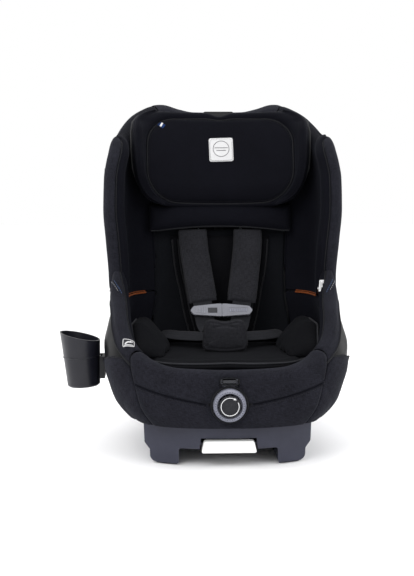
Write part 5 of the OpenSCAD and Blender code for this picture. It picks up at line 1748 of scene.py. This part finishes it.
# ------------------------------------------------------------------ flat straps
def ribbon(name, pts, width, thick, mat, body, n=120, hem_r=None, rolls=None, nw=13, crown=0.0, ends=3.0, path=None, mats=None, dens=None):
    """Flat strap or sleeve along points, its width kept level unless rolled."""
    p = smooth_path(np.asarray(pts, float), n) if path is None else np.asarray(path, float)
    n = len(p)
    d = np.gradient(p, axis=0)
    d /= np.linalg.norm(d, axis=1, keepdims=True)
    w = np.array([1.0, 0, 0]) - d * d[:, :1]
    w /= np.linalg.norm(w, axis=1, keepdims=True)
    f = np.cross(w, d)
    sgn = np.where(f[:, 1] > 0, -1.0, 1.0)
    f = f * sgn[:, None]
    if rolls is not None:
        r_ = np.radians(np.interp(np.linspace(0, 1, n), np.linspace(0, 1, len(rolls)), rolls))[:, None]
        w, f = w * np.cos(r_) + f * np.sin(r_), f * np.cos(r_) - w * np.sin(r_)
    L = np.concatenate([[0], np.cumsum(np.linalg.norm(np.diff(p, axis=0), axis=1))])
    hr = thick * 0.5 if hem_r is None else hem_r
    k = hr / width
    u = np.unique(np.concatenate([0.5 * k * (1 - np.cos(np.linspace(0, math.pi / 2, 5))) * 2, np.linspace(k, 1 - k, nw), 1 - k * (1 - np.cos(np.linspace(0, math.pi / 2, 5)))]))
    Wd = np.broadcast_to(np.asarray(width, float), (n,))
    Ug, Lg = np.meshgrid(u, L, indexing="ij")
    e = np.minimum(np.minimum(Ug, 1 - Ug) * width, np.minimum(Lg, L[-1] - Lg) * (hr / ends))
    q = np.clip(e / hr, 0, 1)
    H = np.sqrt(np.clip(1 - (1 - q) ** 2, 0.0, 1))
    mid = p[None] + w[None] * ((Ug - 0.5)[..., None] * Wd[None, :, None])
    cr = crown * (1 - (2 * Ug - 1) ** 2)
    A = mid + f[None] * (H * thick * 0.5 + cr * H)[..., None]
    B = mid - f[None] * (H * thick * 0.5)[..., None]
    wv = np.stack([Ug * width, Lg], -1).reshape(-1, 2)
    ob = solid(name, A, B, mat, body, wv=np.concatenate([wv, wv]))
    return ob, A, f, w, p, u


SH = np.array([[56, 98, 402], [55, 82, 375], [49, 56, 335], [43, 28, 290], [40, 15.2, 273], [36, -1.6, 241], [32, -8.5, 228], [26, -19, 221], [20, -30, 225], [17, -38, 235]], float)
SH[:, 1] += 5.2
sp_path = smooth_path(SH, 400)
L = np.concatenate([[0], np.cumsum(np.linalg.norm(np.diff(sp_path, axis=0), axis=1))])
zb = 277.0
iz = int(np.argmin(np.abs(sp_path[:200, 2] - zb)))
s_blend = L[iz]
samp = np.unique(np.concatenate([np.linspace(0, s_blend - 14, 40), np.linspace(s_blend - 14, s_blend + 14, 44), np.linspace(s_blend + 14, L[-1], 80)]))
path = np.stack([np.interp(samp, L, sp_path[:, k]) for k in range(3)], -1)
both = []
for sg, tag in ((1, "right"), (-1, "left")):
    pth = path * [sg, 1, 1]
    ob, *_ = ribbon("shoulder_strap_" + tag, None, 38.0, 1.4, "webbing", None, path=pth, nw=9)
    dirn = sp_path[iz - 3] - sp_path[iz + 3]
    dirn /= np.linalg.norm(dirn)
    dirn = dirn * [sg, 1, 1]
    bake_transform(ob)
    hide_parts("shoulder_straps")
    # padded sleeve
    SP_ = np.array([[57.5, 104, 414], [57, 98, 402], [55, 82, 375], [49, 56, 335], [41, 24, 286], [39, 16, 274]], float) * [sg, 1, 1]
    SP_[:, 1] += 4.0
    ob, A_, f_, w_, p_, u_ = ribbon("shoulder_pad_sleeve_" + tag, SP_, 57.0, 6.4, "ribpad", "headrest", n=110, hem_r=3.4, nw=21, crown=2.4, ends=6.0)
    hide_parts("shoulder_pads")
    e0 = [A_[1, 3:-3] , A_[-2, 3:-3]]
    tube("shoulder_pad_edge_" + tag, [smooth_path(e[::4], 100) for e in e0], 1.25, "piping", "headrest", seg=8)
    ci = [int(np.argmin(np.abs(u_ - 0.11))), int(np.argmin(np.abs(u_ - 0.89)))]
    stitches("shoulder_pad_stitching_" + tag, [A_[c, 4:-4] for c in ci], [f_[4:-4] for _ in ci], "thread", "headrest", pitch=4.2, length=2.8, r=0.34)
    # lap strap
    LP_ = np.array([[31, -48, 214], [56, -34, 213], [90, -8, 211], [118, 22, 209], [128, 34, 206]], float) * [sg, 1, 1]
    lp = smooth_path(LP_, 90)
    d_ = np.gradient(lp, axis=0)
    d_ /= np.linalg.norm(d_, axis=1, keepdims=True)
    upv = np.array([0.0, -0.55, 0.84])
    wdir = np.cross(d_, upv)
    wdir /= np.linalg.norm(wdir, axis=1, keepdims=True)
    ff = np.cross(wdir, d_)
    ff *= np.sign(ff[:, 2:3])
    uq = np.linspace(0, 1, 9)
    wd = np.interp(np.linspace(0, 1, 90), [0, 0.15, 0.4, 1], [22, 28, 30, 30])
    mid_ = lp[None] + wdir[None] * ((uq - 0.5)[:, None, None] * wd[None, :, None])
    Hq = np.sqrt(np.clip(1 - (1 - np.clip(np.minimum(uq, 1 - uq) * 30 / 0.7, 0, 1)) ** 2, 0, 1))
    Aq = mid_ + ff[None] * (0.75 * np.maximum(Hq, 0.05))[:, None, None]
    Bq = mid_ - ff[None] * (0.75 * np.maximum(Hq, 0.05))[:, None, None]
    wvq = np.stack(np.meshgrid(uq * 30, np.linspace(0, 140, 90), indexing="ij"), -1).reshape(-1, 2)
    ob = solid("lap_strap_" + tag, Aq, Bq, "webbing", "seat", wv=np.concatenate([wvq, wvq]))
    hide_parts("lap_straps")

ob, *_ = ribbon("crotch_webbing", [[0, -57, 194], [0, -56, 185], [0, -55, 176.5]], 38.0, 1.4, "webbing", "seat", n=20)
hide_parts("crotch_strap")


def place(ob, origin, ax_deg=0.0, az_deg=0.0):
    """Turn a piece made flat in plan so its top faces forward, then set it down."""
    co, _ = mesh_arrays(ob)
    a_ = math.radians(90 + ax_deg)
    ca, sa_ = math.cos(a_), math.sin(a_)
    y = co[:, 1] * ca - co[:, 2] * sa_
    z = co[:, 1] * sa_ + co[:, 2] * ca
    out = np.stack([co[:, 0], y, z], -1) + np.asarray(origin, float)
    set_mesh(ob, out)
    return out


cp = np.array([(-43, -22), (-38, -29), (-28, -31), (28, -31), (38, -29), (43, -22), (42, 0), (39, 20), (34, 28), (24, 30), (10, 27), (0, 26), (-10, 27), (-24, 30), (-34, 28), (-39, 20), (-42, 0)], float)
cp = smooth_path(np.concatenate([cp, cp[:1]]), 140)[:-1]
ob, ring, nrm = outline_pad("crotch_pad_cover", cp, -7.0, 6.0, "ribpad", crown=3.0, r=6.0, n=140, rings=14)
co, _ = mesh_arrays(ob)
dmin = np.min(np.hypot(co[:, None, 0] - (ring - nrm * 6)[None, :, 0], co[:, None, 1] - (ring - nrm * 6)[None, :, 1]), axis=1)
co[:, 2] += np.where(co[:, 2] > 0, groove(dmin, 1.5, 1.8) + groove(np.hypot(np.maximum(np.abs(co[:, 0]) - 22, 0), co[:, 1] - 17 + 0.006 * co[:, 0] ** 2), 2.2, 1.8), 0)
co[:, 2] = np.clip(co[:, 2], -7, 9)
set_mesh(ob, co)
place(ob, (0, -76, 222), ax_deg=-8)
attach(ob, "seat")
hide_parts("crotch_pad")
rg = np.concatenate([ring - nrm * 0.6, np.full((len(ring), 1), 0.6)], 1)
ca, sa_ = math.cos(math.radians(82)), math.sin(math.radians(82))
rg = np.stack([rg[:, 0], rg[:, 1] * ca - rg[:, 2] * sa_, rg[:, 1] * sa_ + rg[:, 2] * ca], -1) + [0, -76, 222]
tube("crotch_pad_piping", rg, 1.4, "piping", "seat", closed=True, seg=8)

# buckle and chest clip
bevelled("buckle_body", 1.6, "knob", segments=4)
bevelled("buckle_button", 0.9, "red", segments=3)
bevelled("chest_clip_right", 1.3, "clip", segments=4)
bevelled("chest_clip_left", 1.3, "clip", segments=4)
bevelled("chest_clip_button", 0.7, "clip_dark", segments=3)
CR = math.radians(-27.8)


def clip_pt(p):
    p = np.asarray(p, float)
    c, s = math.cos(CR), math.sin(CR)
    return np.stack([p[..., 0] - 2, p[..., 1] * c - p[..., 2] * s + 7.5, p[..., 1] * s + p[..., 2] * c + 257], -1)


def bar(cx, cz, hx, hz, y0, y1, r=0.5):
    """Small raised bar of the clip face, rounded at its front edge."""
    V, F = [], []
    prof = [(0, y1), (0, y0 + r), (r * 0.3, y0 + r * 0.3), (r, y0)]
    for ins, y in prof:
        for sx, sz in ((-1, -1), (1, -1), (1, 1), (-1, 1)):
            V.append((cx + sx * (hx - ins), y, cz + sz * (hz - ins)))
    for i in range(3):
        for k in range(4):
            F.append((i * 4 + k, i * 4 + (k + 1) % 4, (i + 1) * 4 + (k + 1) % 4, (i + 1) * 4 + k))
    F.append((3, 2, 1, 0))
    F.append((12, 13, 14, 15))
    return V, F


def bars(name, rows, mat, body):
    V, F = [], []
    for row in rows:
        v, f = bar(*row)
        F += [tuple(i + len(V) for i in q_) for q_ in f]
        V += v
    V = clip_pt(np.array(V))
    if signed_volume(V, F) < 0:
        F = [tuple(reversed(f)) for f in F]
    return make(name, V, F, mat, body, smooth=False, wv=np.zeros((len(V), 2)))


rows = [(17.5 + 4.6 * k, 0.0, 1.1, 3.4 - 0.0 * k, -5.3, -4.2, 0.4) for k in range(8)]
bars("clip_ridges_right", rows, "ring", "clip_right")
rows = [(-34.0 - 5.2 * k, 0.0, 1.2, 6.5 - 0.8 * k, -5.9, -4.8, 0.4) for k in range(4)]
bars("clip_ridges_left", rows, "clip", "clip_left")


# ------------------------------------------------------------------ labels and patches
def patch(name, cx, ct, hx, ht, r, mat, thick=0.9, rot=0.0, body="headrest", nodes=("headrest_labels",), fn=None, up=0.5):
    n1, n2 = 26, 26
    V, F = [], []
    loop = rounded_rect(hx, ht, r, 12, 0, 0, 0)
    m = len(loop)
    ks = np.linspace(0, 1, 9)
    rows = []
    ca, sa_ = math.cos(math.radians(rot)), math.sin(math.radians(rot))
    for k in ks:
        q_ = loop * k
        rows.append(np.stack([cx + q_[:, 0] * ca - q_[:, 1] * sa_, ct + q_[:, 0] * sa_ + q_[:, 1] * ca], -1))
    R = np.array(rows)
    pts, nn = (fn or on_head)(R[..., 0].ravel(), R[..., 1].ravel(), 0.0)
    pts = pts.reshape(len(ks), m, 3)
    nn = nn.reshape(len(ks), m, 3)
    Hk = np.where(ks > 0.93, 0.6, 1.0)[:, None, None]
    A = pts + nn * (up + thick * Hk)
    B = pts + nn * (up - 0.9)
    wv = R.reshape(-1, 2)
    return_ob = solid(name, np.swapaxes(A, 0, 1), np.swapaxes(B, 0, 1), mat, body, wrap=True, wv=np.concatenate([np.swapaxes(R, 0, 1).reshape(-1, 2)] * 2))
    for nd in nodes:
        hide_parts(nd)
    return return_ob


patch("headrest_label", 2.5, 392, 25, 25, 4.5, "label", rot=1.5)
lp_ = rounded_rect(22.4, 22.4, 3.5, 12, 2.5, 392, 1.5)
lp_ = smooth_path(np.concatenate([lp_, lp_[:1]]), 120)
a_, b_ = on_head(lp_[:, 0], lp_[:, 1], 1.45)
stitches("headrest_label_stitching", [a_], [b_], "print", "headrest", pitch=3.4, length=2.2, r=0.3, lift=0.05)
ov = np.array([(2.5 + 16.5 * math.cos(q_), 394 + 16.5 * math.sin(q_)) for q_ in np.linspace(0, 2 * math.pi, 60, endpoint=False)])
a_, b_ = on_head(ov[:, 0], ov[:, 1], 1.45)
tube("headrest_label_oval", a_, 0.55, "print", "headrest", closed=True, seg=8)
ln = [on_head(np.linspace(-11, 16, 20), np.full(20, 396.0), 1.45)[0], on_head(np.linspace(-7, 12, 20), np.full(20, 390.5), 1.45)[0]]
tube("headrest_label_lines", ln, 0.6, "print", "headrest", seg=8)
patch("headrest_tag", -121, 443, 7, 5.0, 1.0, "navy", rot=-38, thick=0.8)
patch("headrest_tag_band", -121, 443, 1.8, 4.8, 0.5, "label", rot=-28, thick=0.9, up=0.9)


def project(target, origin, normal, right):
    """Surface lookup by rays on one soft piece, in a plane with its own axes."""
    bv = bvh_of(target)
    normal = np.asarray(normal, float)
    normal /= np.linalg.norm(normal)
    right = np.asarray(right, float)
    right = right - normal * (right @ normal)
    right /= np.linalg.norm(right)
    upv = np.cross(right, -normal)
    if upv[2] < 0:
        upv = -upv

    def fn(x, y, up=0.0):
        x, y = np.atleast_1d(np.asarray(x, float)), np.atleast_1d(np.asarray(y, float))
        P_, N__ = [], []
        for a_, b_ in zip(x, y):
            o = np.asarray(origin, float) + right * a_ + upv * b_
            h = bv.ray_cast(Vector(o + normal * 60), Vector(-normal), 140)
            if h[0] is None:
                P_.append(o)
                N__.append(normal)
            else:
                nn = np.array(h[1])
                if nn @ normal < 0:
                    nn = -nn
                P_.append(np.array(h[0]))
                N__.append(nn * 0.3 + normal * 0.7)
        P_, N__ = np.array(P_), np.array(N__)
        N__ /= np.linalg.norm(N__, axis=1, keepdims=True)
        return P_ + N__ * up, N__

    return fn


fn = project(OBJ["hip_side_left"], (-184, -183, 224), (0.04, -0.68, 0.73), (1, 0.08, 0))
patch("side_patch", 0, 0, 11.2, 9.2, 2.2, "knob", thick=0.9, rot=-3, body="seat", nodes=("side_labels",), fn=fn)
o_ = rounded_rect(10.0, 8.0, 2.0, 10, 0, 0, -3)
o_ = smooth_path(np.concatenate([o_, o_[:1]]), 80)[:-1]
tube("side_patch_outline", fn(o_[:, 0], o_[:, 1], 1.5)[0], 0.6, "label", "seat", closed=True, seg=8)
tube("side_patch_mark", [fn(np.linspace(-6, 2.5, 16), np.linspace(-2.6, 1.2, 16) + 1.8 * np.sin(np.linspace(0, 3.1, 16)), 1.5)[0]], 1.5, "label", "seat", seg=8)
c_ = np.array([(5.0 + 2.0 * math.cos(q_), 3.2 + 2.0 * math.sin(q_)) for q_ in np.linspace(0, 2 * math.pi, 24, endpoint=False)])
tube("side_patch_circle", fn(c_[:, 0], c_[:, 1], 1.5)[0], 0.8, "label", "seat", closed=True, seg=8)
tube("side_patch_bar", [fn(np.linspace(-8, 7, 16), np.full(16, -5.6), 1.5)[0]], 0.9, "label", "seat", seg=8)

def fn2(x, y, up=0.0):
    """The wing label hangs flat from its seam."""
    u_ = np.array([0.14, 0.62, 0.77])
    n_ = np.array([-0.25, -0.75, 0.61])
    r_ = np.array([0.956, -0.278, 0.05])
    x, y = np.atleast_1d(np.asarray(x, float)), np.atleast_1d(np.asarray(y, float))
    p = np.array([192.9, -41.0, 313.4]) + x[:, None] * r_ + y[:, None] * u_ + (up - 0.6 - 0.006 * y[:, None] ** 2 * 0.5) * n_
    return p, np.tile(n_ / np.linalg.norm(n_), (len(x), 1))


patch("wing_label", 0, 0, 5.0, 13.5, 1.0, "label", thick=0.9, body="seat", nodes=("side_labels",), fn=fn2)
tube("wing_label_lines", [fn2(np.full(12, x_), np.linspace(-a1, a1, 12), 1.5)[0] for x_, a1 in ((-2.4, 10), (0.0, 7.5), (2.4, 10.5))], 0.35, "print", "seat", seg=6)

# contrast stitches at the waist: one white row and one blue row, on both outer sides
for sg, tag in ((1, "right"), (-1, "left")):
    fw = project(OBJ["hip_side_" + tag], (sg * 211, -50, 318), (sg * 0.1, -0.78, 0.62), (1, 0, 0))
    got = {"white": ([], []), "blue": ([], [])}
    for kind, dx_, dz_ in (("white", 3.6, 0.0), ("blue", -3.6, -4.0)):
        xx_ = sg * (np.linspace(9, -9, 26) + dx_)
        zz_ = np.linspace(17, -19, 26) + dz_
        a_, b_ = fw(xx_, zz_, 0.35)
        got[kind][0].append(a_)
        got[kind][1].append(b_)
    stitches("waist_stitches_white_" + tag, got["white"][0], got["white"][1], "thread_white", "seat", pitch=5.6, length=2.6, r=0.42)
    stitches("waist_stitches_blue_" + tag, got["blue"][0], got["blue"][1], "thread_blue", "seat", pitch=5.6, length=2.6, r=0.42)

VIS_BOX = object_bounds()
VIS_BOX = [list(VIS_BOX[0]), list(VIS_BOX[1])]
print("CAD", CAD_BOX, "VIS", VIS_BOX)
